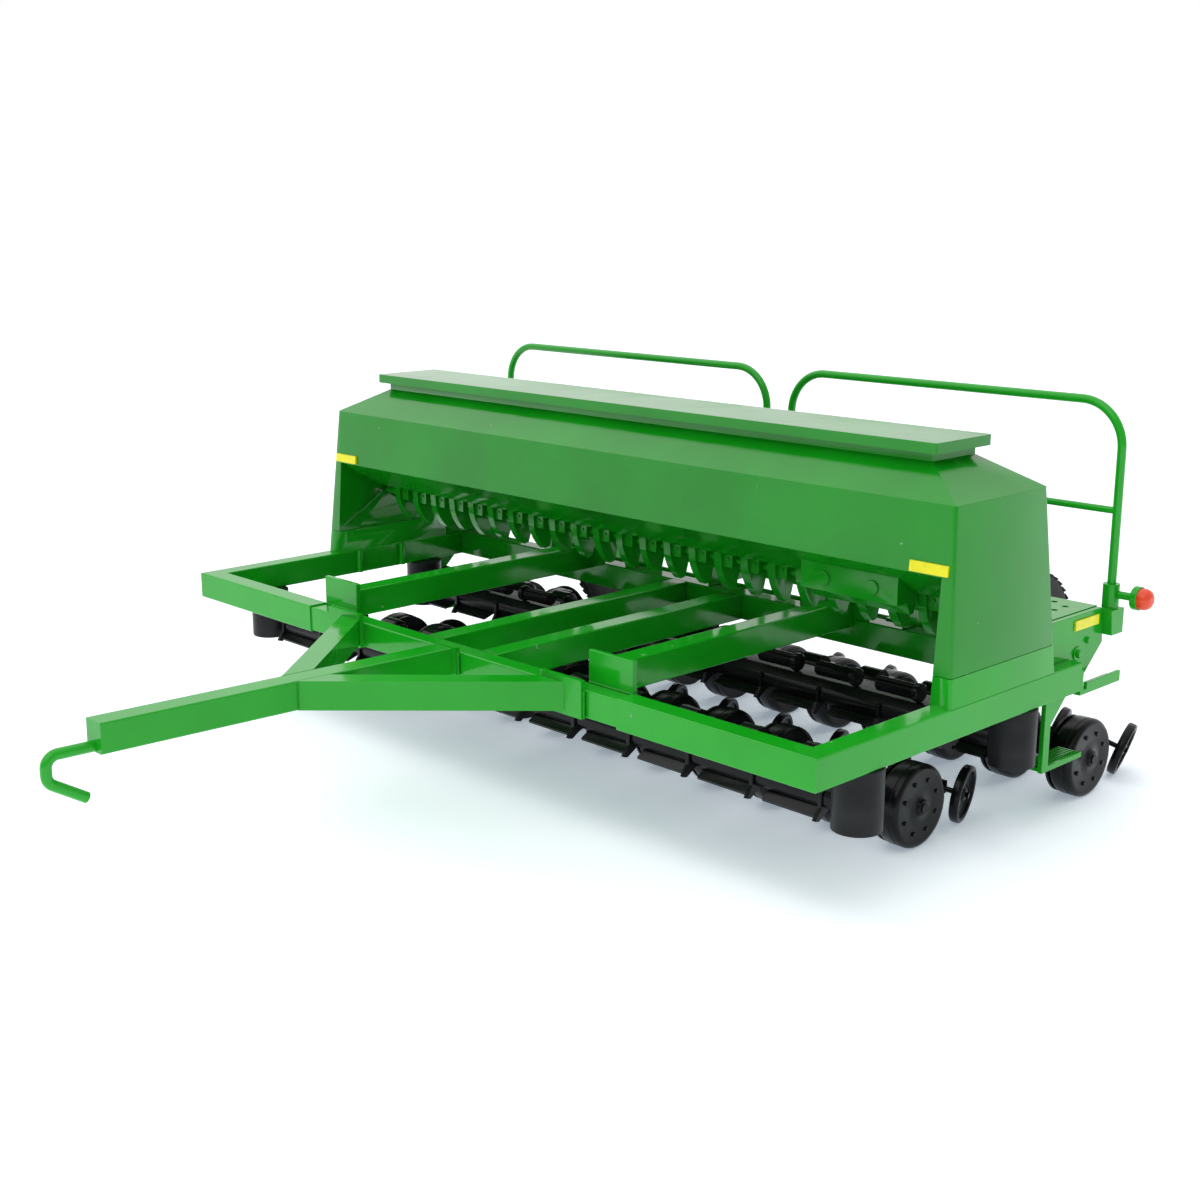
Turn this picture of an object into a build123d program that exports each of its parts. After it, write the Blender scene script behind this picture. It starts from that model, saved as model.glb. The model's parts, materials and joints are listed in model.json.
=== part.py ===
"""Towed two-rank box grain drill, scale model, as separate named pieces.

Millimetres, +Z up, +Y to the rear, +X to the right-hand side seen from behind the tongue.
The origin is on the floor, under the middle of the whole machine.
"""
import os
from math import atan2, cos, degrees, hypot, radians, sin, tan

from build123d import *

os.makedirs("parts", exist_ok=True)

# ---------------------------------------------------------------- driving dimensions
running_gap = 0.06          # radial clearance of a turning shaft in its bore
body_gap = 0.3              # clearance between pieces that move past each other

frame_width = 308.0         # over the side beams
frame_depth = 133.6         # front face of the front beam to the rear ends of the side beams
beam_height = 9.7
beam_width = 7.6
beam_top = 53.0
beam_edge_radius = 0.5
wing_step = 0.5             # the centre tube is this much smaller all round than the wings
wing_joint_x = 79.0
outer_beam_x = 66.0
outer_beam_rise = 7.0       # the outer long beams stand this much higher than the frame
inner_beam_x = 14.0
end_plate_width = 19.2
end_plate_height = 10.0
plate_thickness = 1.4

tongue_width = 8.2
tongue_height = 9.2
tongue_tilt = 1.05          # degrees, the tongue rises towards its hook
tongue_step = 1.3           # underside of the tongue above the beam's underside, at the beam
tongue_length = 125.0
tongue_fork_y = 61.0        # where the arms leave the stem, in front of the front beam
arm_end_x = 58.0            # outer edge of a side arm at the front beam
arm_width = 7.6
flange_reach = 7.2          # the arm's end plate stands out past the arm by this
flange_rise = 1.8           # and above it
flange_thickness = 1.2
hook_rod_radius = 1.65
hook_rod_lift = 1.8         # rod centre above the underside of the tongue
hook_reach = 14.5
hook_drop = 7.6
hook_tail = (11.1, 7.0)     # run to the rear and fall of the last leg
hook_bend = 3.6

box_front_y = 60.7          # foot of the grain box end panels, behind the front beam's face
box_depth = 56.9
shoulder_z = 111.4
shoulder_front_y = 65.0
shoulder_depth = 48.0
shoulder_inset = 4.2        # how far the end panels lean in from foot to shoulder
end_panel_thickness = 7.0
box_edge_z = 90.6
box_floor_z = 80.0
box_floor_front_y = 80.0
box_floor_depth = 17.0
box_wall = 1.6
roof_top_z = 120.8
roof_wall = 1.4
skirt_seam_z = 62.0
lid_half_length = 135.2
lid_front_y = 75.1
lid_depth = 28.8
lid_bottom_z = 123.5
lid_thickness = 3.3
lid_skin = 1.3
collar_inset = 3.4
hinge_pin_radius = 0.7
knuckle_radius = 1.5
hinge_spacing = 90.0

cup_count = 24
cup_thickness = 3.2
cup_tip_z = 65.8
cup_margin_left = 12.9
cup_margin_right = 7.4
feed_shaft_radius = 1.4
feed_shaft_y = 87.0
feed_shaft_z = 76.8
drive_cover_width = 37.0
drive_cover_inset = 20.0

deck_z = 65.6
deck_thickness = 1.4
deck_front_y = 119.0
deck_rear_y = 153.5
deck_gap = 4.0
bracket_x = 147.0
bracket_thickness = 2.0
rail_y = 158.0
rail_radius = 1.45
rail_top_z = 133.0
rail_mid_z = 98.0
rail_mid_radius = 1.15
rail_outer_x = 148.9
rail_inner_right_x = 12.8
rail_inner_left_x = 0.6
rail_bend = 15.0
rail_sleeve_radius = 2.7
rail_sleeve_height = 8.0
lamp_z = 70.6
lamp_cup_radius = 3.9
lens_radius = 3.5

wheel_radius = 13.5
wheel_width = 8.0
wheel_bolt_count = 8
wheel_axle_radius = 1.6
disc_radius = 13.2
disc_thickness = 0.9
arm_plate_thickness = 2.6
unit_clear = 0.4
front_wheel_y = 78.0
rank_spacing = 78.5
units_per_half = 6
front_wheel_inset = 20.0    # outermost front wheel face, in from the side beam's outer face
centre_wheel_x = 6.0
closing_radius = 9.6
closing_width = 3.0
closing_lean = {"front": 7.0, "rear": 18.0}
closing_yaw = 17.0
closing_trail = 28.0        # closing wheel centre behind the gauge wheel axle
closing_pin_radius = 0.9

post_radius = 7.4
post_bottom_z = 24.5
front_post_y = 27.0
gang_bottom_z = 28.0
gang_top_z = 35.5
gang_depth = 12.0
roll_radius = 2.6

tyre_radius = 26.0
rim_radius = 15.0
lift_shaft_radius = 3.0
lift_shaft_y = 140.0
lift_shaft_z = 49.6
tyre_y = 183.0
tyre_z = 41.2
tyre_axle_radius = 1.6
lift_arm_thickness = 2.0

# ---------------------------------------------------------------- derived places
rear_reach = tyre_y + tyre_radius
tilt = radians(tongue_tilt)
hook_front = (tongue_length + hook_reach) * cos(tilt) - hook_rod_lift * sin(tilt) + hook_rod_radius
front_y = (hook_front - rear_reach) / 2
half_width = frame_width / 2
beam_bottom = beam_top - beam_height
side_beam_inner = half_width - beam_width
rear_y = front_y + frame_depth
end_panel_inner = half_width - end_panel_thickness
cup_pitch = (2 * end_panel_inner - cup_margin_left - cup_margin_right) / (cup_count - 1)
front_wheel_x = half_width - front_wheel_inset
unit_pitch = (front_wheel_x - centre_wheel_x) / (units_per_half - 1)
rear_wheel_x = front_wheel_x + unit_pitch / 2
post_x = half_width - post_radius + 1.0
axle_z = wheel_radius
disc_offset = wheel_width + unit_clear
arm_offset = disc_offset + disc_thickness + unit_clear
unit_width = arm_offset + arm_plate_thickness
unit_room = unit_pitch - unit_width          # free space inboard of a unit, before the next wheel
lift_arm_clear = (unit_room - lift_arm_thickness) / 8
tyre_width = unit_room - lift_arm_thickness - 3 * lift_arm_clear
rear_unit_room_x = rear_wheel_x - 2 * unit_pitch
lift_arm_x = rear_unit_room_x + lift_arm_clear
tyre_x = lift_arm_x + lift_arm_thickness + lift_arm_clear
closing_centre = (wheel_width - 1.0) / 2
closing_z = {rank: closing_radius * cos(radians(lean)) + closing_width / 2 * sin(radians(lean))
             for rank, lean in closing_lean.items()}
pieces = {}


def block(x0, x1, y0, y1, z0, z1, mode=Mode.ADD):
    """Add a box between two corners, with y counted from the front beam's face."""
    with Locations(((x0 + x1) / 2, front_y + (y0 + y1) / 2, (z0 + z1) / 2)):
        return Box(abs(x1 - x0), abs(y1 - y0), abs(z1 - z0), mode=mode)


def side_plane(x):
    """Plane facing +X at x, whose sketch axes are y, from the front beam's face, and z."""
    return Plane(origin=(x, front_y, 0), x_dir=(0, 1, 0), z_dir=(1, 0, 0))


def top_plane(z):
    """Plane facing up at z, whose sketch axes are x and y, from the front beam's face."""
    return Plane(origin=(0, front_y, z), x_dir=(1, 0, 0), z_dir=(0, 0, 1))


def rear_plane(y):
    """Plane facing the front at y, whose sketch axes are x and z."""
    return Plane(origin=(0, front_y + y, 0), x_dir=(1, 0, 0), z_dir=(0, -1, 0))


def prism(plane, points, depth, mode=Mode.ADD):
    """Extrude a closed outline of straight lines by depth along its plane's normal."""
    with BuildSketch(plane, mode=Mode.PRIVATE) as outline:
        Polygon(*points, align=None)
    return extrude(outline.sketch, amount=depth, mode=mode)


def rod(x, y, z, direction, radius, length, mode=Mode.ADD):
    """Add a round bar that starts at a point and runs along a direction."""
    start = Plane(origin=(x, front_y + y, z), z_dir=direction)
    with BuildSketch(start, mode=Mode.PRIVATE) as section:
        Circle(radius)
    return extrude(section.sketch, amount=length, mode=mode)


def line_y(z, foot_y, top_y):
    """y on the leaning line between a grain box foot and its shoulder, at height z."""
    return foot_y + (top_y - foot_y) * (z - beam_top) / (shoulder_z - beam_top)


box_rear_y = box_front_y + box_depth
shoulder_rear_y = shoulder_front_y + shoulder_depth
lid_rear_y = lid_front_y + lid_depth

# ---------------------------------------------------------------- frame
with BuildPart() as front_centre_beam:
    block(-wing_joint_x, wing_joint_x, wing_step, beam_width - wing_step,
          beam_bottom + wing_step, beam_top - wing_step)
    fillet(front_centre_beam.edges().filter_by(Axis.X), beam_edge_radius)
pieces["front_centre_beam"] = front_centre_beam

for side, hand in ((-1, "left"), (1, "right")):
    with BuildPart() as wing:
        prism(top_plane(beam_bottom), [(side * wing_joint_x, 0), (side * half_width, 0),
                                       (side * side_beam_inner, beam_width),
                                       (side * wing_joint_x, beam_width)], beam_height)
        fillet(wing.edges().filter_by(Axis.X), beam_edge_radius)
    pieces[hand + "_front_beam"] = wing
    with BuildPart() as side_beam:
        prism(top_plane(beam_bottom), [(side * half_width, 0), (side * half_width, frame_depth),
                                       (side * side_beam_inner, frame_depth),
                                       (side * side_beam_inner, beam_width)], beam_height)
        fillet(side_beam.edges().filter_by(Axis.Y), beam_edge_radius)
    pieces[hand + "_side_beam"] = side_beam

with BuildPart() as outer_long_beams:
    for side in (-1, 1):
        block(side * outer_beam_x - beam_width / 2, side * outer_beam_x + beam_width / 2,
              beam_width + plate_thickness, frame_depth - beam_width,
              beam_bottom + outer_beam_rise, beam_top + outer_beam_rise)
    fillet(outer_long_beams.edges().filter_by(Axis.Y), beam_edge_radius)
pieces["outer_long_beams"] = outer_long_beams

with BuildPart() as inner_long_beams:
    for side in (-1, 1):
        block(side * inner_beam_x - beam_width / 2, side * inner_beam_x + beam_width / 2,
              beam_width - wing_step, frame_depth - beam_width, beam_bottom, beam_top)
    fillet(inner_long_beams.edges().filter_by(Axis.Y), beam_edge_radius)
pieces["inner_long_beams"] = inner_long_beams

with BuildPart() as rear_cross_beam:
    block(-side_beam_inner, side_beam_inner, frame_depth - beam_width, frame_depth, beam_bottom, beam_top)
    fillet(rear_cross_beam.edges().filter_by(Axis.X), beam_edge_radius)
pieces["rear_cross_beam"] = rear_cross_beam

plate_centre_x = wing_joint_x - end_plate_width / 2
with BuildPart() as beam_end_plates:
    for side in (-1, 1):
        centre = side * plate_centre_x
        block(centre - end_plate_width / 2, centre + end_plate_width / 2,
              beam_width - wing_step, beam_width + plate_thickness,
              beam_bottom + outer_beam_rise, beam_top + end_plate_height)
        centre = side * outer_beam_x
        block(centre - end_plate_width / 2, centre + end_plate_width / 2,
              frame_depth - beam_width, frame_depth - beam_width + plate_thickness,
              beam_top, beam_top + outer_beam_rise)
pieces["beam_end_plates"] = beam_end_plates

# ---------------------------------------------------------------- tongue
tongue_bottom = beam_bottom + tongue_step
tongue_plane = Plane(origin=(0, front_y, tongue_bottom), x_dir=(1, 0, 0), z_dir=(0, sin(tilt), cos(tilt)))
tongue_end = flange_thickness / 2
with BuildPart() as tongue_stem:
    prism(tongue_plane, [(-tongue_width / 2, -tongue_length), (tongue_width / 2, -tongue_length),
                         (tongue_width / 2, -tongue_end), (-tongue_width / 2, -tongue_end)], tongue_height)
    fillet(tongue_stem.edges().group_by(SortBy.LENGTH)[-1], beam_edge_radius)
    block(-tongue_width / 2 - 1.6, tongue_width / 2 + 1.6, -flange_thickness, wing_step,
          tongue_bottom + 0.4, tongue_bottom + tongue_height + 0.4)
pieces["tongue_stem"] = tongue_stem

arm_run = arm_end_x - tongue_width / 2
arm_slope = hypot(arm_run, tongue_fork_y) / tongue_fork_y * arm_width
with BuildPart() as tongue_arms:
    for side in (-1, 1):
        prism(tongue_plane,
              [(side * tongue_width / 2, -tongue_fork_y), (side * arm_end_x, -tongue_end),
               (side * (arm_end_x - arm_slope), -tongue_end),
               (side * tongue_width / 2, -tongue_fork_y + arm_slope * tongue_fork_y / arm_run)],
              tongue_height)
        block(side * (arm_end_x - arm_slope - 1.0), side * (arm_end_x + flange_reach), -flange_thickness,
              wing_step, tongue_bottom - 1.0, tongue_bottom + tongue_height + flange_rise)
pieces["tongue_arms"] = tongue_arms


def tongue_point(y, z):
    """Side view y and z of a point y along the sloping tongue and z above its underside."""
    return (y * cos(tilt) + z * sin(tilt), tongue_bottom - y * sin(tilt) + z * cos(tilt))


hook_start = tongue_point(-tongue_length, hook_rod_lift)
hook_top = tongue_point(-tongue_length - hook_reach, hook_rod_lift)
hook_low = (hook_top[0], hook_top[1] - hook_drop)
hook_end = (hook_low[0] + hook_tail[0], hook_low[1] - hook_tail[1])
with BuildPart() as hitch_hook:
    with BuildLine(side_plane(0)) as hook_line:
        FilletPolyline(hook_start, hook_top, hook_low, hook_end, radius=hook_bend)
    with BuildSketch(Plane(origin=hook_line.line @ 0, z_dir=hook_line.line % 0)):
        Circle(hook_rod_radius)
    sweep(path=hook_line.line)
pieces["hitch_hook"] = hitch_hook

# ---------------------------------------------------------------- grain box
edge_front_y = line_y(box_edge_z, box_front_y, shoulder_front_y)
edge_rear_y = line_y(box_edge_z, box_rear_y, shoulder_rear_y)
box_outline = [(edge_front_y, box_edge_z), (shoulder_front_y, shoulder_z), (shoulder_rear_y, shoulder_z),
               (edge_rear_y, box_edge_z), (box_floor_front_y + box_floor_depth, box_floor_z),
               (box_floor_front_y, box_floor_z)]
with BuildPart() as hopper_shell:
    prism(side_plane(-end_panel_inner), box_outline, 2 * end_panel_inner)
    with BuildSketch(side_plane(-end_panel_inner)) as cavity:
        Polygon(*box_outline, align=None)
        offset(amount=-box_wall, kind=Kind.INTERSECTION)
    extrude(amount=2 * end_panel_inner, mode=Mode.SUBTRACT)
    block(-end_panel_inner, end_panel_inner, shoulder_front_y + box_wall, shoulder_rear_y - box_wall,
          shoulder_z - 2 * box_wall, shoulder_z, mode=Mode.SUBTRACT)
pieces["hopper_shell"] = hopper_shell

for side, hand in ((-1, "left"), (1, "right")):
    inner_x = side * end_panel_inner
    with BuildPart() as end_panel:
        prism(side_plane(min(inner_x, side * half_width)),
              [(box_front_y, beam_top), (shoulder_front_y, shoulder_z), (shoulder_rear_y, shoulder_z),
               (box_rear_y, beam_top)], end_panel_thickness)
        prism(rear_plane(box_rear_y + 1),
              [(side * half_width, beam_top), (side * (half_width - shoulder_inset), shoulder_z),
               (side * (half_width + 5), shoulder_z), (side * (half_width + 5), beam_top)],
              box_depth + 2, mode=Mode.SUBTRACT)
        rod(inner_x - side * 0.01, feed_shaft_y, feed_shaft_z, (side, 0, 0),
            feed_shaft_radius + running_gap, end_panel_thickness / 2, mode=Mode.SUBTRACT)
    pieces["hopper_end_" + hand] = end_panel


def rectangle_on(z, half_x, y0, y1):
    """Rectangle sketch at height z, for the sloping roof."""
    with BuildSketch(top_plane(z), mode=Mode.PRIVATE) as face:
        with Locations((0, (y0 + y1) / 2)):
            Rectangle(2 * half_x, y1 - y0)
    return face.sketch


collar_half = lid_half_length - collar_inset
collar_front_y = lid_front_y + collar_inset
collar_rear_y = lid_rear_y - collar_inset
shoulder_half = half_width - shoulder_inset
hinge_y = lid_rear_y + knuckle_radius + 0.2
hinge_z = lid_bottom_z + 0.7
with BuildPart() as hopper_roof:
    loft([rectangle_on(shoulder_z, shoulder_half, shoulder_front_y, shoulder_rear_y),
          rectangle_on(roof_top_z, collar_half, collar_front_y, collar_rear_y)])
    block(-collar_half, collar_half, collar_front_y, collar_rear_y, roof_top_z, lid_bottom_z - body_gap / 2)
    loft([rectangle_on(shoulder_z, shoulder_half - 2 * roof_wall, shoulder_front_y + 1.2 * roof_wall,
                       shoulder_rear_y - 1.2 * roof_wall),
          rectangle_on(roof_top_z, collar_half - roof_wall, collar_front_y + roof_wall,
                       collar_rear_y - roof_wall)], mode=Mode.SUBTRACT)
    block(-collar_half + roof_wall, collar_half - roof_wall, collar_front_y + roof_wall,
          collar_rear_y - roof_wall, roof_top_z, lid_bottom_z, mode=Mode.SUBTRACT)
    for station in (-hinge_spacing, 0, hinge_spacing):
        for ear in (-1, 1):
            ear_x = station + ear * 4.5
            block(ear_x - 0.8, ear_x + 0.8, hinge_y - 1.0, hinge_y + knuckle_radius,
                  roof_top_z - 4.4, hinge_z)
            rod(ear_x - 0.8, hinge_y, hinge_z, (1, 0, 0), knuckle_radius, 1.6)
            rod(ear_x - 0.8, hinge_y, hinge_z, (1, 0, 0), hinge_pin_radius, 1.6, mode=Mode.SUBTRACT)
pieces["hopper_roof"] = hopper_roof

with BuildPart() as lid_hinge_pins:
    for station in (-hinge_spacing, 0, hinge_spacing):
        rod(station - 5.6, hinge_y, hinge_z, (1, 0, 0), hinge_pin_radius, 11.2)
pieces["lid_hinge_pins"] = lid_hinge_pins

with BuildPart() as hopper_lid:
    block(-lid_half_length, lid_half_length, lid_front_y, lid_rear_y, lid_bottom_z,
          lid_bottom_z + lid_thickness)
    fillet(hopper_lid.edges().filter_by(Axis.Z), 0.8)
    block(-lid_half_length + lid_skin, lid_half_length - lid_skin, lid_front_y + lid_skin,
          lid_rear_y - lid_skin, lid_bottom_z, lid_bottom_z + lid_thickness - lid_skin,
          mode=Mode.SUBTRACT)
    for station in (-hinge_spacing, 0, hinge_spacing):
        block(station - 3.2, station + 3.2, lid_rear_y - 0.4, hinge_y, hinge_z + 0.3, hinge_z + 1.4)
        rod(station - 3.2, hinge_y, hinge_z, (1, 0, 0), knuckle_radius, 6.4)
        rod(station - 3.2, hinge_y, hinge_z, (1, 0, 0), hinge_pin_radius + running_gap, 6.4,
            mode=Mode.SUBTRACT)
pieces["hopper_lid"] = hopper_lid

# ---------------------------------------------------------------- metering under the grain box
cup_left_x = -end_panel_inner + cup_margin_left
with BuildPart() as feed_cup:
    with BuildSketch(side_plane(-cup_thickness / 2)) as blade:
        with BuildLine():
            Line((82.0, box_floor_z), (82.4, 75.0))
            Spline((82.4, 75.0), (84.2, 70.4), (88.0, cup_tip_z))
            Line((88.0, cup_tip_z), (90.2, cup_tip_z + 0.4))
            Spline((90.2, cup_tip_z + 0.4), (91.6, 70.5), (92.6, 75.6))
            Line((92.6, 75.6), (92.6, box_floor_z))
            Line((92.6, box_floor_z), (82.0, box_floor_z))
        make_face()
    extrude(amount=cup_thickness)
    block(cup_thickness / 2 - 0.3, cup_pitch * 0.46, 83.5, 90.0, box_floor_z - 5.4, box_floor_z)
    rod(-cup_pitch / 2, feed_shaft_y, feed_shaft_z, (1, 0, 0), feed_shaft_radius + running_gap,
        cup_pitch, mode=Mode.SUBTRACT)

with BuildPart() as feed_cups:
    with Locations(*[(cup_left_x + number * cup_pitch, 0, 0) for number in range(cup_count)]):
        add(feed_cup.part)
pieces["feed_cups"] = feed_cups

with BuildPart() as feed_shaft:
    rod(-end_panel_inner - end_panel_thickness / 4, feed_shaft_y, feed_shaft_z, (1, 0, 0),
        feed_shaft_radius, 2 * end_panel_inner + end_panel_thickness / 2)
pieces["feed_shaft"] = feed_shaft

cover_right = end_panel_inner - drive_cover_inset
cover_left = cover_right - drive_cover_width
cover_front_y = box_floor_front_y - 9.5
cover_rise = (box_edge_z - box_floor_z) / (box_floor_front_y - edge_front_y) * 9.5
with BuildPart() as drive_cover:
    prism(side_plane(cover_left),
          [(cover_front_y, box_floor_z + cover_rise), (box_floor_front_y, box_floor_z),
           (box_floor_front_y + 0.6, box_floor_z), (box_floor_front_y + 0.6, 76.4),
           (box_floor_front_y - 1.0, 73.6), (box_floor_front_y - 2.8, 73.6),
           (box_floor_front_y - 4.4, 77.4), (cover_front_y, 77.4)], drive_cover_width)
    for spot in (0.25, 0.75):
        rod(cover_left + spot * drive_cover_width, cover_front_y, 81.6, (0, -1, 0), 2.3, 0.7)
pieces["drive_cover"] = drive_cover

# ---------------------------------------------------------------- catwalk, rails, lamps and steps
with BuildPart() as deck_supports:
    for support_x in (-inner_beam_x * 6.4, -inner_beam_x * 3.2, 0, inner_beam_x * 3.2, inner_beam_x * 6.4):
        block(support_x - 1.0, support_x + 1.0, frame_depth - beam_width + plate_thickness + 0.2,
              deck_rear_y - 6.0, beam_top, deck_z - 1.2)
        block(support_x - 4.0, support_x + 4.0, frame_depth - beam_width + plate_thickness + 0.2,
              deck_rear_y - 3.0, deck_z - 1.2, deck_z)
pieces["deck_supports"] = deck_supports

deck_outer_x = bracket_x - body_gap
for side, hand in ((-1, "left"), (1, "right")):
    inner_edge = side * deck_gap / 2
    outer_edge = side * deck_outer_x
    with BuildPart() as deck:
        block(inner_edge, outer_edge, deck_front_y, deck_rear_y, deck_z, deck_z + deck_thickness)
        block(inner_edge, outer_edge, deck_rear_y - 1.0, deck_rear_y, deck_z - 2.6, deck_z)
        block(inner_edge, outer_edge, deck_front_y, deck_front_y + 1.0, deck_z - 2.6, deck_z)
    pieces[hand + "_catwalk_deck"] = deck

with BuildPart() as side_brackets:
    for side in (-1, 1):
        prism(side_plane(side * bracket_x - (bracket_thickness if side < 0 else 0)),
              [(box_rear_y + 0.9, beam_top), (box_rear_y + 0.9, deck_z + 1.2),
               (deck_rear_y - 0.5, deck_z + 1.2), (deck_rear_y + 1.0, deck_z - 10.5),
               (frame_depth + 5.4, beam_bottom - 1.8), (frame_depth, beam_bottom - 1.8),
               (frame_depth, beam_top)], bracket_thickness)
pieces["side_brackets"] = side_brackets

rail_sets = {"left": (-rail_outer_x, rail_inner_left_x), "right": (rail_outer_x, rail_inner_right_x)}
for hand, (outer_x, inner_x) in rail_sets.items():
    with BuildPart() as handrail:
        with BuildLine(rear_plane(rail_y)) as rail_line:
            FilletPolyline((outer_x, deck_z + 1.0), (outer_x, rail_top_z), (inner_x, rail_top_z),
                           (inner_x, deck_z + 1.0), radius=rail_bend)
        with BuildSketch(Plane(origin=rail_line.line @ 0, z_dir=rail_line.line % 0)):
            Circle(rail_radius)
        sweep(path=rail_line.line)
        rod(min(outer_x, inner_x), rail_y, rail_mid_z, (1, 0, 0), rail_mid_radius, abs(outer_x - inner_x))
    pieces[hand + "_handrail"] = handrail

edge_slope = 1.5 / 11.7
clamp_outline = [(deck_rear_y - 0.5 + 0.8 * edge_slope, deck_z + 0.4),
                 (deck_rear_y - 0.5 + 9.2 * edge_slope, deck_z - 8.0),
                 (rail_y + 3.2, deck_z - 8.0), (rail_y + 3.2, deck_z + 0.4)]
with BuildPart() as rail_clamps:
    for foot_x, reach in ((-rail_outer_x, 1), (rail_outer_x, -1)):
        clamp_start = bracket_x if reach < 0 else foot_x - 3.4
        prism(side_plane(clamp_start), clamp_outline, rail_outer_x + 3.4 - bracket_x)
        rod(foot_x, rail_y, deck_z + 0.4, (0, 0, 1), rail_sleeve_radius, rail_sleeve_height)
        rod(foot_x, rail_y, deck_z + 0.4, (0, 0, 1), rail_radius, rail_sleeve_height, mode=Mode.SUBTRACT)
        rod(foot_x, rail_y, deck_z - 1.0, (0, 0, 1), rail_radius, 2.0, mode=Mode.SUBTRACT)
    for foot_x in (rail_inner_left_x, rail_inner_right_x):
        block(foot_x - 2.4, foot_x + 2.4, deck_rear_y, rail_y + 2.6, deck_z - 5.0, deck_z + 3.0)
        rod(foot_x, rail_y, deck_z + 1.0, (0, 0, 1), rail_radius, 4.0, mode=Mode.SUBTRACT)
pieces["rail_clamps"] = rail_clamps

lamp_face_x = rail_outer_x + 10.6
with BuildPart() as lamp_housings:
    for side in (-1, 1):
        arm_start = side * (rail_outer_x + rail_sleeve_radius)
        rod(arm_start, rail_y, lamp_z, (side, 0, 0), 1.3, lamp_face_x - rail_outer_x - rail_sleeve_radius - 1.0)
        cup_start = side * (lamp_face_x - 2.2)
        rod(cup_start, rail_y, lamp_z, (side, 0, 0), lamp_cup_radius, 2.2)
        rod(cup_start + side * 1.0, rail_y, lamp_z, (side, 0, 0), lens_radius, 2.0, mode=Mode.SUBTRACT)
pieces["lamp_housings"] = lamp_housings

with BuildPart() as lamp_lenses:
    for side in (-1, 1):
        rod(side * (lamp_face_x - 1.2), rail_y, lamp_z, (side, 0, 0), lens_radius, 5.1)
    lens_rims = lamp_lenses.edges().group_by(Axis.X)
    fillet(lens_rims[0] + lens_rims[-1], lens_radius * 0.72)
pieces["lamp_lenses"] = lamp_lenses

step_strip_y = front_post_y + rank_spacing + post_radius + 2.2
step_inner_x = bracket_x + bracket_thickness
with BuildPart() as steps:
    for side in (-1, 1):
        block(side * step_inner_x, side * half_width, frame_depth, frame_depth + 25.0,
              beam_bottom - 1.4, beam_bottom + 0.2)
        block(side * (half_width - 1.2), side * half_width, frame_depth + 4.0, frame_depth + 25.0,
              beam_bottom + 0.2, beam_bottom + 2.2)
        block(side * step_inner_x, side * half_width, frame_depth, frame_depth + 1.6,
              beam_bottom + 0.2, beam_bottom + 7.0)
        outline = [(step_strip_y, beam_bottom), (step_strip_y, beam_bottom - 23.4),
                   (step_strip_y + 24.0, beam_bottom - 23.4), (step_strip_y + 24.0, beam_bottom - 21.6),
                   (step_strip_y + 3.6, beam_bottom - 21.6), (step_strip_y + 3.6, beam_bottom - 8.0),
                   (step_strip_y + 12.0, beam_bottom)]
        prism(side_plane(side * (half_width - 2.6) - (1.6 if side < 0 else 0)), outline, 1.6)
        block(side * (half_width - 2.6), side * (half_width - 8.6), step_strip_y + 1.0, step_strip_y + 24.0,
              beam_bottom - 23.4, beam_bottom - 22.0)
pieces["steps"] = steps

with BuildPart() as reflectors:
    for side in (-1, 1):
        low_z = box_edge_z + 0.5
        high_z = low_z + 3.2
        low_y = line_y(low_z, box_front_y, shoulder_front_y)
        high_y = line_y(high_z, box_front_y, shoulder_front_y)
        marker_x = side * (end_panel_inner - 4.3)
        prism(side_plane(marker_x - 6.6), [(low_y - 0.8, low_z), (low_y, low_z), (high_y, high_z),
                                           (high_y - 0.8, high_z)], 13.2)
        block(side * (bracket_x + bracket_thickness), side * (bracket_x + bracket_thickness + 0.6),
              deck_rear_y - 17.4, deck_rear_y - 3.2, deck_z - 3.7, deck_z - 0.5)
pieces["reflectors"] = reflectors

with BuildPart() as bracket_bolts:
    for side in (-1, 1):
        outer_face = side * (bracket_x + bracket_thickness)
        rod(outer_face, deck_rear_y - 9.0, deck_z - 8.2, (side, 0, 0), 1.2, 1.0)
        rod(outer_face, deck_rear_y - 15.0, deck_z - 11.6, (side, 0, 0), 2.4, 0.5)
        rod(outer_face + side * 0.5, deck_rear_y - 15.0, deck_z - 11.6, (side, 0, 0), 1.4, 0.9)
        for post_y in (70.0, 92.0):
            rod(side * (side_beam_inner - 1.2), post_y, beam_bottom + 0.5, (0, 0, 1), 1.2, beam_height - 0.5)
pieces["bracket_bolts"] = bracket_bolts

# ---------------------------------------------------------------- opener ranks
ranks = {"front": (0.0, front_wheel_x), "rear": (rank_spacing, rear_wheel_x)}

with BuildPart() as mounting_posts:
    for shift in (0.0, rank_spacing):
        for side in (-1, 1):
            rod(side * post_x, front_post_y + shift, post_bottom_z, (0, 0, 1), post_radius,
                beam_bottom - post_bottom_z)
pieces["mounting_posts"] = mounting_posts

with BuildPart() as gang_hangers:
    for shift in (0.0, rank_spacing):
        for side in (-1, 1):
            block(side * inner_beam_x - 2.4, side * inner_beam_x + 2.4, front_post_y + shift + 6.6,
                  front_post_y + shift + 9.6, gang_top_z, beam_bottom)
pieces["gang_hangers"] = gang_hangers

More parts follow.
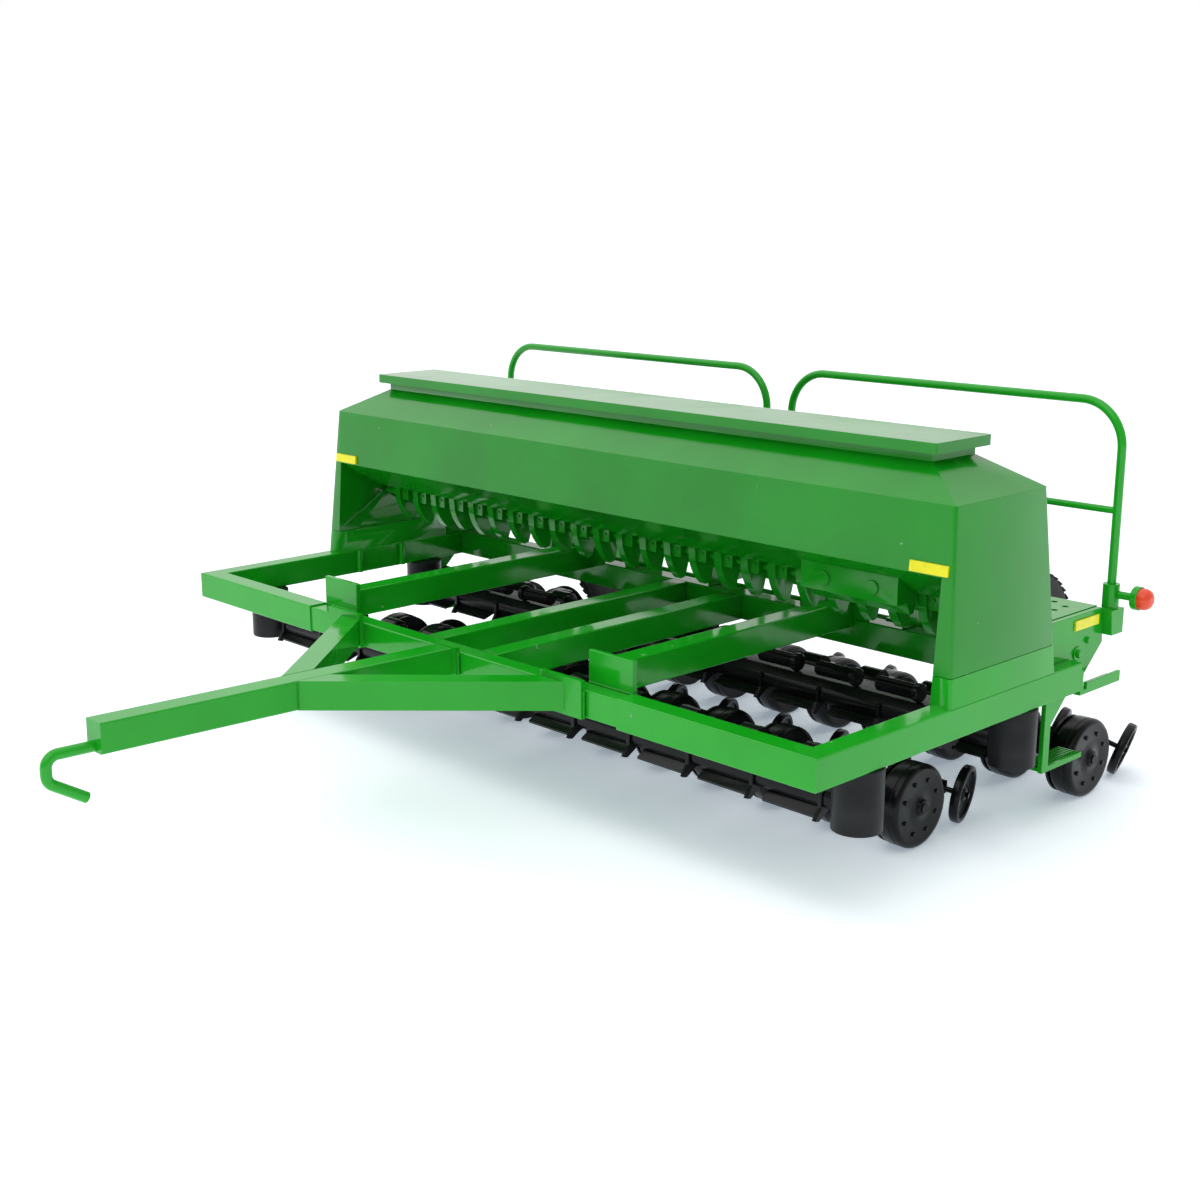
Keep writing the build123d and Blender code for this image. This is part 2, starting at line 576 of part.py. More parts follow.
# one unit of each kind, with the gauge wheel's outer face at x = 0 and the post at y = 0
with BuildPart() as gauge_wheel:
    with BuildSketch(Plane.XZ) as tread:
        with BuildLine():
            FilletPolyline((-wheel_width, wheel_axle_radius), (-wheel_width, wheel_radius),
                           (0, wheel_radius), (0, wheel_axle_radius), radius=1.3)
            Line((0, wheel_axle_radius), (-wheel_width, wheel_axle_radius))
        make_face()
    revolve(axis=Axis.X)
    with BuildSketch(Plane.YZ.offset(-0.3)) as bolt_heads:
        with PolarLocations(8.6, wheel_bolt_count, start_angle=180 / wheel_bolt_count):
            Circle(0.85)
    extrude(amount=0.7)

with BuildPart() as disc_and_axle:
    with BuildSketch(Plane.YZ.offset(-disc_offset)) as disc_face:
        Circle(disc_radius)
    extrude(amount=-disc_thickness)
    with BuildSketch(Plane.YZ.offset(-unit_width - 0.4)) as axle_end:
        Circle(wheel_axle_radius)
    extrude(amount=unit_width + 0.4 + 1.6)

def closing_axis(rank, side):
    """Axle direction of a closing wheel, pointing outwards and leaning down."""
    lean = radians(closing_lean[rank])
    yaw = radians(closing_yaw)
    return Vector(side * cos(yaw) * cos(lean), sin(yaw) * cos(lean), -sin(lean))


closing_wheel = {}
for rank in closing_lean:
    for side in (-1, 1):
        with BuildPart() as wheel:
            axle = closing_axis(rank, side)
            wheel_plane = Plane(origin=axle * (-closing_width / 2), z_dir=axle)
            with BuildSketch(wheel_plane) as ring:
                Circle(closing_radius)
                Circle(closing_pin_radius + running_gap, mode=Mode.SUBTRACT)
            extrude(amount=closing_width)
            with BuildSketch(wheel_plane.offset(closing_width - 0.9)) as dish:
                Circle(closing_radius - 1.7)
                Circle(2.2, mode=Mode.SUBTRACT)
            extrude(amount=2.0, mode=Mode.SUBTRACT)
        closing_wheel[rank, side] = wheel

roll_y = 3.0
roll_z = gang_top_z + roll_radius + 0.6
roll_start = unit_pitch - 13.6
with BuildPart() as spring_roll:
    with BuildSketch(Plane.XZ) as roll_profile:
        with BuildLine():
            rings = [(-roll_start - 15.0, 0), (-roll_start - 15.0, roll_radius - 0.35)]
            for ring in range(8):
                ring_x = -roll_start - 14.4 + 1.6 * ring
                rings += [(ring_x, roll_radius - 0.35), (ring_x, roll_radius),
                          (ring_x + 0.8, roll_radius), (ring_x + 0.8, roll_radius - 0.35)]
            rings += [(-roll_start, roll_radius - 0.35), (-roll_start, roll_radius + 0.6),
                      (-roll_start + 2.2, roll_radius + 0.6), (-roll_start + 2.2, 0)]
            Polyline(*rings, close=True)
        make_face()
    revolve(axis=Axis.X)

barrel_y = 19.5
barrel_z = gang_top_z - 2.4
with BuildPart() as arm_barrel:
    with BuildSketch(Plane.YZ.offset(-unit_width)) as barrel_face:
        Circle(4.4)
    extrude(amount=-8.4)
    with BuildSketch(Plane.YZ.offset(-unit_width - 8.4)) as barrel_end:
        Circle(3.2)
    extrude(amount=-1.4)

wheel_y = front_wheel_y - front_post_y      # wheel axle behind the post
tail_reach = arm_offset - closing_centre + 0.6
opener_arm = {}
gang_lip = {}
for rank in closing_lean:
    for side in (-1, 1):
        axle = closing_axis(rank, side)
        reach = tail_reach / abs(axle.X)
        wheel_centre = Vector(-side * closing_centre, wheel_y + closing_trail, closing_z[rank])
        tail = wheel_centre - axle * reach
        with BuildPart() as arm:
            plate_x = -side * arm_offset
            plate_start = min(plate_x, plate_x - side * arm_plate_thickness)
            prism(Plane.YZ.offset(plate_start),
                  [(gang_depth, gang_bottom_z + 1.0), (gang_depth, gang_top_z - 0.5),
                   (24.0, gang_top_z - 1.0), (wheel_y - 8.0, axle_z + 9.0), (wheel_y + 4.0, axle_z + 4.6),
                   (tail.Y - 3.0, tail.Z + 2.8), (tail.Y + 2.4, tail.Z + 2.0),
                   (tail.Y + 2.4, tail.Z - 2.0), (tail.Y - 3.0, tail.Z - 2.6), (wheel_y + 3.0, axle_z - 4.0),
                   (wheel_y - 4.0, axle_z - 4.0)], arm_plate_thickness)
            rod(plate_x + side * 0.5, wheel_y - front_y, axle_z, (-side, 0, 0),
                wheel_axle_radius + running_gap, arm_plate_thickness + 1.0, mode=Mode.SUBTRACT)
            rod(tail.X, tail.Y - front_y, tail.Z, axle, closing_pin_radius, reach + closing_width / 2 + 0.6)
        opener_arm[rank, side] = arm

for side in (-1, 1):
    with BuildPart() as lip:
        prism(Plane.YZ.offset(-18.0 if side > 0 else -2.0),
              [(0.2, gang_bottom_z + 0.2), (2.6, gang_bottom_z + 0.2), (2.6, gang_bottom_z - 1.0),
               (-3.4, gang_bottom_z - 3.0), (-3.8, gang_bottom_z - 2.2)], 20.0)
        prism(Plane.YZ.offset(side * 2.0 - 0.7),
              [(0.6, gang_top_z - 1.6), (-2.1, gang_top_z - 3.0), (-2.3, gang_bottom_z),
               (-4.6, gang_bottom_z - 3.4), (-3.0, gang_bottom_z - 3.8), (2.0, gang_bottom_z - 0.8)], 1.4)
    gang_lip[side] = lip


def unit_spots(rank, side, numbers, y=0.0, z=0.0, turned=True):
    """Locations of the units of one side of a rank; turned ones face the other way on the left."""
    shift, outer_face = ranks[rank]
    turn = 180 if side < 0 and turned else 0
    return [Location((side * (outer_face - number * unit_pitch), front_y + front_post_y + shift + y, z),
                     (0, 0, turn)) for number in numbers]


def closing_spots(rank, side, numbers):
    """Centres of the closing wheels behind the numbered units of one side of a rank."""
    middle = Location((-side * closing_centre, 0, 0))
    return [spot * middle for spot in unit_spots(rank, side, numbers, wheel_y + closing_trail,
                                                 closing_z[rank], turned=False)]


bar_end = post_x - post_radius
for rank, (shift, outer_face) in ranks.items():
    post_y = front_post_y + shift
    unit_count = {1: units_per_half, -1: units_per_half if rank == "rear" else units_per_half - 1}
    with BuildPart() as gang_bar:
        with BuildSketch(side_plane(-bar_end)) as bar_section:
            with BuildLine():
                Polyline((post_y - 0.4, gang_top_z - 2.0), (post_y + 1.6, gang_top_z),
                         (post_y + gang_depth, gang_top_z), (post_y + gang_depth, gang_bottom_z),
                         (post_y - 1.0, gang_bottom_z))
                ThreePointArc((post_y - 1.0, gang_bottom_z), (post_y - 1.5, gang_top_z - 5.0),
                              (post_y - 0.4, gang_top_z - 2.0))
            make_face()
        extrude(amount=2 * bar_end)
        for side in (-1, 1):
            with Locations(*unit_spots(rank, side, range(unit_count[side]), turned=False)):
                add(gang_lip[side].part)
        for side in (-1, 1):
            block(side * bar_end, side * (bar_end + 12.0), post_y - 8.0, post_y + 8.0,
                  gang_bottom_z - 6.0, gang_top_z + 1.0, mode=Mode.SUBTRACT)
    pieces[rank + "_gang_bar"] = gang_bar

    with BuildPart() as opener_arms:
        for side in (-1, 1):
            with Locations(*unit_spots(rank, side, range(unit_count[side]), turned=False)):
                add(opener_arm[rank, side].part)
    pieces[rank + "_opener_arms"] = opener_arms

    for side, hand in ((-1, "left"), (1, "right")):
        with BuildPart() as wheels:
            with Locations(*unit_spots(rank, side, range(unit_count[side]), wheel_y, axle_z)):
                add(gauge_wheel.part)
        pieces[rank + "_gauge_wheels_" + hand] = wheels
        with BuildPart() as discs:
            with Locations(*unit_spots(rank, side, range(unit_count[side]), wheel_y, axle_z)):
                add(disc_and_axle.part)
        pieces[rank + "_discs_" + hand] = discs
        with BuildPart() as outer_closing:
            with Locations(*closing_spots(rank, side, [0])):
                add(closing_wheel[rank, side].part)
        pieces[rank + "_closing_wheel_" + hand] = outer_closing

    with BuildPart() as inner_closing:
        for side in (-1, 1):
            with Locations(*closing_spots(rank, side, range(1, unit_count[side]))):
                add(closing_wheel[rank, side].part)
    pieces[rank + "_inner_closing_wheels"] = inner_closing

with BuildPart() as spring_rolls:
    for rank in ranks:
        for side in (-1, 1):
            count = units_per_half if rank == "rear" or side > 0 else units_per_half - 1
            with Locations(*unit_spots(rank, side, range(count), roll_y, roll_z)):
                add(spring_roll.part)
            with Locations(*unit_spots(rank, side, range(count), barrel_y, barrel_z)):
                add(arm_barrel.part)
pieces["spring_rolls"] = spring_rolls

# ---------------------------------------------------------------- transport wheels
bearing_x = outer_beam_x + 14.0
with BuildPart() as lift_bearings:
    for side in (-1, 1):
        block(side * bearing_x - 2.5, side * bearing_x + 2.5, frame_depth, lift_shaft_y + 5.0,
              lift_shaft_z - 5.0, lift_shaft_z + 3.4 + lift_shaft_radius * 0.2)
        rod(side * bearing_x - 3.0, lift_shaft_y, lift_shaft_z, (1, 0, 0),
            lift_shaft_radius + running_gap, 6.0, mode=Mode.SUBTRACT)
pieces["lift_bearings"] = lift_bearings

arm_y = tyre_y - lift_shaft_y
arm_z = tyre_z - lift_shaft_z
arm_tilt = degrees(atan2(arm_z, arm_y))
arm_length = hypot(arm_y, arm_z)
with BuildPart() as lift_frame:
    rod(-lift_arm_x, lift_shaft_y, lift_shaft_z, (1, 0, 0), lift_shaft_radius, 2 * lift_arm_x)
    for side in (-1, 1):
        start_x = side * lift_arm_x - (lift_arm_thickness if side < 0 else 0)
        with BuildSketch(side_plane(start_x)) as arm_outline:
            with Locations((lift_shaft_y, lift_shaft_z)):
                Circle(lift_shaft_radius + 1.2)
            with Locations((tyre_y, tyre_z)):
                Circle(tyre_axle_radius + 1.6)
            with Locations(Location(((lift_shaft_y + tyre_y) / 2, (lift_shaft_z + tyre_z) / 2), arm_tilt)):
                Rectangle(arm_length, 5.6)
        extrude(amount=lift_arm_thickness)
        rod(side * (lift_arm_x + lift_arm_thickness), tyre_y, tyre_z, (side, 0, 0), tyre_axle_radius,
            lift_arm_clear + tyre_width)
pieces["lift_frame"] = lift_frame

for side, hand in ((-1, "left"), (1, "right")):
    inner_x = side * tyre_x
    outer_x = side * (tyre_x + tyre_width)
    with BuildPart() as tyre:
        with BuildSketch(rear_plane(tyre_y), mode=Mode.PRIVATE) as casing:
            with BuildLine():
                Polyline((inner_x, tyre_z + rim_radius), (inner_x, tyre_z + tyre_radius - 3.0))
                ThreePointArc((inner_x, tyre_z + tyre_radius - 3.0), ((inner_x + outer_x) / 2,
                              tyre_z + tyre_radius), (outer_x, tyre_z + tyre_radius - 3.0))
                Polyline((outer_x, tyre_z + tyre_radius - 3.0), (outer_x, tyre_z + rim_radius),
                         (inner_x, tyre_z + rim_radius))
            make_face()
        revolve(casing.sketch, axis=Axis((0, front_y + tyre_y, tyre_z), (1, 0, 0)))
    pieces[hand + "_transport_tyre"] = tyre
    with BuildPart() as rim:
        rod(inner_x, tyre_y, tyre_z, (side, 0, 0), rim_radius, tyre_width)
        rod(outer_x, tyre_y, tyre_z, (-side, 0, 0), rim_radius - 1.2, tyre_width * 0.35, mode=Mode.SUBTRACT)
        rod(inner_x, tyre_y, tyre_z, (side, 0, 0), 4.0, tyre_width * 0.9)
        rod(inner_x - side, tyre_y, tyre_z, (side, 0, 0), tyre_axle_radius + running_gap, tyre_width + 2.0,
            mode=Mode.SUBTRACT)
    pieces[hand + "_transport_rim"] = rim

# ---------------------------------------------------------------- write the pieces
for name, piece in pieces.items():
    piece.part.label = name
    export_step(piece.part, "parts/" + name + ".step")
print(len(pieces), "pieces written, front beam face at y =", round(front_y, 3))
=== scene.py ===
"""Looks of a towed two-rank grain drill model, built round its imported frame."""

import json
import logging
import math
from dataclasses import dataclass, field
from enum import Enum
from typing import Iterable, Sequence

import bmesh
import bpy
from mathutils import Matrix, Vector


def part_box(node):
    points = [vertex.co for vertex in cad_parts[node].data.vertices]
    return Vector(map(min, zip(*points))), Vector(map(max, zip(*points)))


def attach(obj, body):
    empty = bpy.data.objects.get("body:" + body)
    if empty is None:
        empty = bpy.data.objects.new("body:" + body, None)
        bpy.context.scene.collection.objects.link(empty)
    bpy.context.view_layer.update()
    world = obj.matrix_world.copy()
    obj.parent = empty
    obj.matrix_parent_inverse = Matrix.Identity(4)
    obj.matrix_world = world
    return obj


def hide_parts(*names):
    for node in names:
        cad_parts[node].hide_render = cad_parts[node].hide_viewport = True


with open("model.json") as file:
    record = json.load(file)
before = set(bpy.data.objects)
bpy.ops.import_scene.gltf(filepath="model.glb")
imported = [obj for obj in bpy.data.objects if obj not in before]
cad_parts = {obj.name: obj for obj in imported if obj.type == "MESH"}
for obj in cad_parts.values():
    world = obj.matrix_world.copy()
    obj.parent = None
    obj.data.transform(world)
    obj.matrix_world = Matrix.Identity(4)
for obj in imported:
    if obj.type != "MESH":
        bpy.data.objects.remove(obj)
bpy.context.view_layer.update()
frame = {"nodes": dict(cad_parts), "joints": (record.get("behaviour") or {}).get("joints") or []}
MM = 0.001
MERGE_GAP = 2e-6
FLAT_ANGLE = math.radians(0.6)
SMOOTH_ANGLE = 32.0
BEVEL_ANGLE = math.radians(28)
JOINTS = {joint["name"]: joint for joint in frame["joints"]}
LOG = logging.getLogger("grain_drill")
Colour = tuple[float, float, float]


class Slot(Enum):
    """Material slots of the record, one for each finish."""

    GREEN = "green_paint"
    STEEL = "pin_steel"
    RED = "red_lens"
    YELLOW = "yellow_reflector"
    GREY = "grey_post"
    TYRE = "tyre_rubber"
    RIM = "rim_plastic"
    BLACK = "black_plastic"


class Side(Enum):
    """The two hands of the machine."""

    LEFT = -1
    RIGHT = 1

    @property
    def word(self) -> str:
        """Name of the side, as the bodies and nodes spell it."""
        return self.name.lower()

    @property
    def turn(self) -> Matrix:
        """Turn about Z that carries a right-hand shape to this side."""
        return Matrix.Rotation(0.0 if self is Side.RIGHT else math.pi, 4, "Z")


class Rank(Enum):
    """The two rows of openers."""

    FRONT = "front"
    REAR = "rear"


# ---------------------------------------------------------------- finishes
class ShaderBench:
    """Adds and links the shader nodes of one procedural material."""

    def __init__(self, name: str) -> None:
        """Start a material with its shader and its object coordinates.

        Args:
            name: Name of the material.
        """
        self.material = bpy.data.materials.new(name)
        self.material.use_nodes = True
        self.tree = self.material.node_tree
        self.shader = self.tree.nodes["Principled BSDF"]
        self.coords = self.tree.nodes.new("ShaderNodeTexCoord").outputs["Object"]

    def noise(self, scale: float, detail: float = 2.0,
              stretch: Colour = (1.0, 1.0, 1.0)) -> bpy.types.NodeSocket:
        """Noise over the surface.

        Args:
            scale: Cells to the metre.
            detail: Octaves of finer noise.
            stretch: Scale along each axis, for drawn-out grain.

        Returns:
            The node's height output.
        """
        mapping = self.tree.nodes.new("ShaderNodeMapping")
        mapping.inputs["Scale"].default_value = stretch
        self.tree.links.new(self.coords, mapping.inputs["Vector"])
        node = self.tree.nodes.new("ShaderNodeTexNoise")
        node.inputs["Scale"].default_value = scale
        node.inputs["Detail"].default_value = detail
        self.tree.links.new(mapping.outputs["Vector"], node.inputs["Vector"])
        return node.outputs["Fac"]

    def ramp(self, value: bpy.types.NodeSocket,
             stops: Sequence[tuple[float, Colour]]) -> bpy.types.NodeSocket:
        """Colour ramp of a value.

        Args:
            value: Output that picks the colour.
            stops: Positions and their colours, in order.

        Returns:
            The ramp's colour output.
        """
        node = self.tree.nodes.new("ShaderNodeValToRGB")
        for number, (place, colour) in enumerate(stops):
            if number < 2:
                stop = node.color_ramp.elements[number]
                stop.position = place
            else:
                stop = node.color_ramp.elements.new(place)
            stop.color = (*colour, 1.0)
        self.tree.links.new(value, node.inputs["Fac"])
        return node.outputs["Color"]

    def span(self, value: bpy.types.NodeSocket, low: float, high: float, start: float = 0.3,
             stop: float = 0.7) -> bpy.types.NodeSocket:
        """Stretch a value onto another range.

        Args:
            value: Output to stretch.
            low: Result at the start.
            high: Result at the stop.
            start: Value that gives low.
            stop: Value that gives high.

        Returns:
            The result output.
        """
        node = self.tree.nodes.new("ShaderNodeMapRange")
        node.inputs["From Min"].default_value = start
        node.inputs["From Max"].default_value = stop
        node.inputs["To Min"].default_value = low
        node.inputs["To Max"].default_value = high
        self.tree.links.new(value, node.inputs["Value"])
        return node.outputs["Result"]

    def bump(self, height: bpy.types.NodeSocket, strength: float, distance: float,
             onto: bpy.types.NodeSocket | None = None) -> bpy.types.NodeSocket:
        """Raise the surface by a height.

        Args:
            height: Output that gives the height.
            strength: Share of the bump that is used.
            distance: Full height in metres.
            onto: Normal output of an earlier bump.

        Returns:
            The bump's normal output.
        """
        node = self.tree.nodes.new("ShaderNodeBump")
        node.inputs["Strength"].default_value = strength
        node.inputs["Distance"].default_value = distance
        self.tree.links.new(height, node.inputs["Height"])
        if onto is not None:
            self.tree.links.new(onto, node.inputs["Normal"])
        return node.outputs["Normal"]

    def feed(self, **outputs: bpy.types.NodeSocket) -> None:
        """Link outputs to the shader's sockets, named with underscores for spaces."""
        for socket, output in outputs.items():
            self.tree.links.new(output, self.shader.inputs[socket.replace("_", " ")])

    def fix(self, **values: float | tuple[float, ...]) -> None:
        """Set uniform values on the shader's own sockets, named with underscores for spaces."""
        for socket, value in values.items():
            self.shader.inputs[socket.replace("_", " ")].default_value = value


@dataclass(frozen=True)
class Finish:
    """A finish with a name, a record slot and a base colour."""

    name: str
    slot: Slot
    base: Colour

    def build(self) -> bpy.types.Material:
        """Material of this finish, made once and then shared."""
        known = bpy.data.materials.get(self.name)
        return known if known is not None else self.mix()

    def mix(self) -> bpy.types.Material:
        """Make the material's nodes.

        Returns:
            The material.
        """
        bench = ShaderBench(self.name)
        bench.fix(Base_Color=(*self.base, 1.0))
        return bench.material


@dataclass(frozen=True)
class GlossPaint(Finish):
    """Sprayed gloss paint, thick enough to ripple, with small chips."""

    light: Colour = (0.03, 0.30, 0.04)
    ripple: float = 0.24
    chipped: float = 0.755

    def mix(self) -> bpy.types.Material:
        """Make the material's nodes.

        Returns:
            The material.
        """
        bench = ShaderBench(self.name)
        cloud = bench.noise(scale=22.0, detail=3.0)
        chips = bench.noise(scale=240.0, detail=4.0)
        paint = bench.ramp(cloud, [(0.35, self.base), (0.65, self.light)])
        worn = bench.ramp(chips, [(self.chipped, (0.0, 0.0, 0.0)), (self.chipped + 0.012, (1.0, 1.0, 1.0))])
        mix = bench.tree.nodes.new("ShaderNodeMix")
        mix.data_type = "RGBA"
        mix.inputs[7].default_value = (0.30, 0.42, 0.28, 1.0)
        bench.tree.links.new(worn, mix.inputs[0])
        bench.tree.links.new(paint, mix.inputs[6])
        peel = bench.bump(bench.noise(scale=620.0, detail=1.0), strength=0.10, distance=0.00004)
        sag = bench.bump(bench.noise(scale=75.0, detail=1.5), strength=self.ripple, distance=0.0004,
                         onto=peel)
        bench.feed(Base_Color=mix.outputs[2], Normal=sag,
                   Roughness=bench.span(bench.noise(scale=46.0, detail=3.0), low=0.07, high=0.15))
        bench.fix(Coat_Weight=0.0, IOR=1.43)
        return bench.material


@dataclass(frozen=True)
class MouldedPlastic(Finish):
    """Injection-moulded plastic with a fine grain and flow marks."""

    light: Colour = (0.02, 0.02, 0.021)
    dull: tuple[float, float] = (0.30, 0.46)
    grain: float = 0.16

    def mix(self) -> bpy.types.Material:
        """Make the material's nodes.

        Returns:
            The material.
        """
        bench = ShaderBench(self.name)
        flow = bench.noise(scale=60.0, detail=3.0, stretch=(1.0, 1.0, 2.4))
        fine = bench.bump(bench.noise(scale=1500.0, detail=2.0), strength=self.grain, distance=0.00004)
        wave = bench.bump(bench.noise(scale=110.0, detail=1.0), strength=0.12, distance=0.0002, onto=fine)
        bench.feed(Base_Color=bench.ramp(flow, [(0.35, self.base), (0.7, self.light)]), Normal=wave,
                   Roughness=bench.span(bench.noise(scale=90.0, detail=2.0), *self.dull))
        bench.fix(IOR=1.28)
        return bench.material


@dataclass(frozen=True)
class RollingRubber(Finish):
    """Tyre rubber with a dusty bloom."""

    def mix(self) -> bpy.types.Material:
        """Make the material's nodes.

        Returns:
            The material.
        """
        bench = ShaderBench(self.name)
        bloom = bench.noise(scale=55.0, detail=4.0)
        grit = bench.bump(bench.noise(scale=900.0, detail=3.0), strength=0.3, distance=0.0001)
        dusty = tuple(channel + 0.02 for channel in self.base)
        bench.feed(Base_Color=bench.ramp(bloom, [(0.35, self.base), (0.75, dusty)]), Normal=grit,
                   Roughness=bench.span(bloom, low=0.62, high=0.82))
        return bench.material


@dataclass(frozen=True)
class TurnedSteel(Finish):
    """Plain steel, with turning marks along the bar."""

    def mix(self) -> bpy.types.Material:
        """Make the material's nodes.

        Returns:
            The material.
        """
        bench = ShaderBench(self.name)
        marks = bench.noise(scale=700.0, detail=2.0, stretch=(3.0, 0.4, 0.4))
        pale = tuple(min(1.0, channel + 0.1) for channel in self.base)
        bench.feed(Base_Color=bench.ramp(marks, [(0.3, self.base), (0.7, pale)]),
                   Roughness=bench.span(marks, low=0.25, high=0.42),
                   Normal=bench.bump(marks, strength=0.15, distance=0.00005))
        bench.fix(Metallic=1.0)
        return bench.material


@dataclass(frozen=True)
class ColouredLens(Finish):
    """Moulded lens or reflective strip, with a fine prism pattern under a clear face."""

    pattern: float = 700.0
    # Painted light: a faint emission in the base colour that makes the lens and the reflector strips glow,
    # though neither is lit.
    glow: float = 0.0

    def mix(self) -> bpy.types.Material:
        """Make the material's nodes.

        Returns:
            The material.
        """
        bench = ShaderBench(self.name)
        cells = bench.tree.nodes.new("ShaderNodeTexVoronoi")
        cells.inputs["Scale"].default_value = self.pattern
        bench.tree.links.new(bench.coords, cells.inputs["Vector"])
        prism = bench.bump(cells.outputs["Distance"], strength=0.25, distance=0.00012)
        deep = tuple(channel * 0.82 for channel in self.base)
        clouds = bench.noise(scale=180.0, detail=2.0)
        bench.feed(Base_Color=bench.ramp(clouds, [(0.3, deep), (0.7, self.base)]), Normal=prism,
                   Roughness=bench.span(bench.noise(scale=300.0, detail=2.0), low=0.14, high=0.26))
        bench.fix(Coat_Weight=0.25, Coat_Roughness=0.03, IOR=1.35, Emission_Color=(*self.base, 1.0),
                  Emission_Strength=self.glow)
        return bench.material


GREEN = GlossPaint("green_gloss_paint", Slot.GREEN, (0.007, 0.335, 0.010), light=(0.011, 0.385, 0.015))
# Painted shade: the same green paint as GREEN, made about 30 per cent darker for the grain box sheets to
# stand in for the shade they fall in.
PAINTED_SHADE_GREEN = GlossPaint("green_box_paint", Slot.GREEN, (0.0045, 0.235, 0.007), light=(0.0065, 0.285, 0.010))
WELD_GREEN = GlossPaint("painted_weld", Slot.GREEN, (0.007, 0.30, 0.010), light=(0.012, 0.37, 0.016),
                        ripple=0.5, chipped=0.9)
BLACK = MouldedPlastic("black_moulding", Slot.BLACK, (0.003, 0.003, 0.0035), light=(0.007, 0.007, 0.008),
                       dull=(0.18, 0.32))
GREY = MouldedPlastic("grey_moulding", Slot.GREY, (0.010, 0.0105, 0.012), light=(0.018, 0.0185, 0.021),
                      dull=(0.34, 0.5))
RIM = MouldedPlastic("rim_moulding", Slot.RIM, (0.012, 0.012, 0.013), light=(0.026, 0.026, 0.028))
TYRE = RollingRubber("tyre_rubber", Slot.TYRE, (0.022, 0.022, 0.024))
STEEL = TurnedSteel("turned_steel", Slot.STEEL, (0.42, 0.42, 0.43))
# Both lenses carry a small painted glow as emission.
RED = ColouredLens("red_lens", Slot.RED, (0.82, 0.06, 0.012), pattern=900.0, glow=0.06)
YELLOW = ColouredLens("yellow_strip", Slot.YELLOW, (0.93, 0.87, 0.008), pattern=1400.0, glow=0.06)


# ---------------------------------------------------------------- shaping
def lathe(profile: Sequence[tuple[float, float]], segments: int, closed: bool = True) -> bmesh.types.BMesh:
    """Turn a profile round the X axis.

    Args:
        profile: Places along X and their radii, in millimetres, in order round the section.
        segments: Steps of the full turn.
        closed: Whether the last point joins the first, as on a bored piece.

    Returns:
        The turned shape.
    """
    bm = bmesh.new()
    points = [bm.verts.new((x * MM, 0.0, radius * MM)) for x, radius in profile]
    pairs = list(zip(points, points[1:])) + ([(points[-1], points[0])] if closed else [])
    edges = [bm.edges.new(pair) for pair in pairs]
    bmesh.ops.spin(bm, geom=points + edges, cent=(0, 0, 0), axis=(1, 0, 0), angle=math.tau,
                   steps=segments, use_merge=True, use_duplicate=False)
    bmesh.ops.remove_doubles(bm, verts=bm.verts, dist=1e-7)
    bmesh.ops.recalc_face_normals(bm, faces=bm.faces)
    return bm


def stud(bm: bmesh.types.BMesh, base: Vector, along: Vector, radius: float, height: float,
         sides: int = 6, tip: float = 0.82) -> None:
    """Add a short bolt head or rivet.

    Args:
        bm: Shape that the stud joins.
        base: Middle of its foot.
        along: Direction it stands in.
        radius: Radius at the foot.
        height: How far it stands out.
        sides: Number of flats.
        tip: Share of the radius left at the top.
    """
    turn = along.to_track_quat("Z", "Y").to_matrix().to_4x4()
    place = Matrix.Translation(base + along.normalized() * height / 2) @ turn
    bmesh.ops.create_cone(bm, cap_ends=True, segments=sides, radius1=radius, radius2=radius * tip,
                          depth=height, matrix=place)


def stud_ring(bm: bmesh.types.BMesh, count: int, circle: float, foot: float, size: tuple[float, float],
              sides: int = 6, start: float = 0.0) -> None:
    """Add a ring of studs that stand out along X, with sizes in millimetres.

    Args:
        bm: Shape that the studs join.
        count: Number of studs.
        circle: Radius of the ring.
        foot: Place of their feet along X.
        size: Radius and height of one stud.
        sides: Number of flats.
        start: Place of the first, in steps round the ring.
    """
    for number in range(count):
        angle = math.tau * (number + start) / count
        base = Vector((foot, circle * math.cos(angle), circle * math.sin(angle))) * MM
        stud(bm, base, Vector((1, 0, 0)), size[0] * MM, size[1] * MM, sides=sides)


def slab(bm: bmesh.types.BMesh, low: Vector, high: Vector) -> None:
    """Add a box between two corners.

    Args:
        bm: Shape that the box joins.
        low: Lowest corner.
        high: Highest corner.
    """
    size = high - low
    place = Matrix.Translation((low + high) / 2) @ Matrix.Diagonal((*size, 1.0))
    bmesh.ops.create_cube(bm, size=1.0, matrix=place)


def bead(bm: bmesh.types.BMesh, start: Vector, stop: Vector, radius: float) -> None:
    """Add a run of weld bead, a row of overlapping scales.

    Args:
        bm: Shape that the bead joins.
        start: Where the run begins.
        stop: Where it ends.
        radius: Half the bead's width.
    """
    run = stop - start
    scales = max(2, round(run.length / (radius * 0.95)))
    turn = run.to_track_quat("Z", "Y").to_matrix().to_4x4()
    for number in range(scales):
        centre = start + run * ((number + 0.5) / scales)
        wide = radius * (1.0 + 0.16 * math.sin(number * 2.3))
        bmesh.ops.create_cone(bm, cap_ends=True, segments=7, radius1=wide, radius2=wide * 0.72,
                              depth=run.length / scales * 1.25, matrix=Matrix.Translation(centre) @ turn)


def repeat(template: bmesh.types.BMesh, places: Iterable[Matrix]) -> bmesh.types.BMesh:
    """Copy a shape to several places in one mesh.

    Args:
        template: Shape to copy, which is freed.
        places: Placement of each copy.

    Returns:
        The copies.
    """
    mesh = bpy.data.meshes.new("template")
    template.to_mesh(mesh)
    template.free()
    bm = bmesh.new()
    for place in places:
        before = len(bm.verts)
        bm.from_mesh(mesh)
        bm.verts.ensure_lookup_table()
        bmesh.ops.transform(bm, matrix=place, verts=bm.verts[before:])
    bpy.data.meshes.remove(mesh)
    return bm


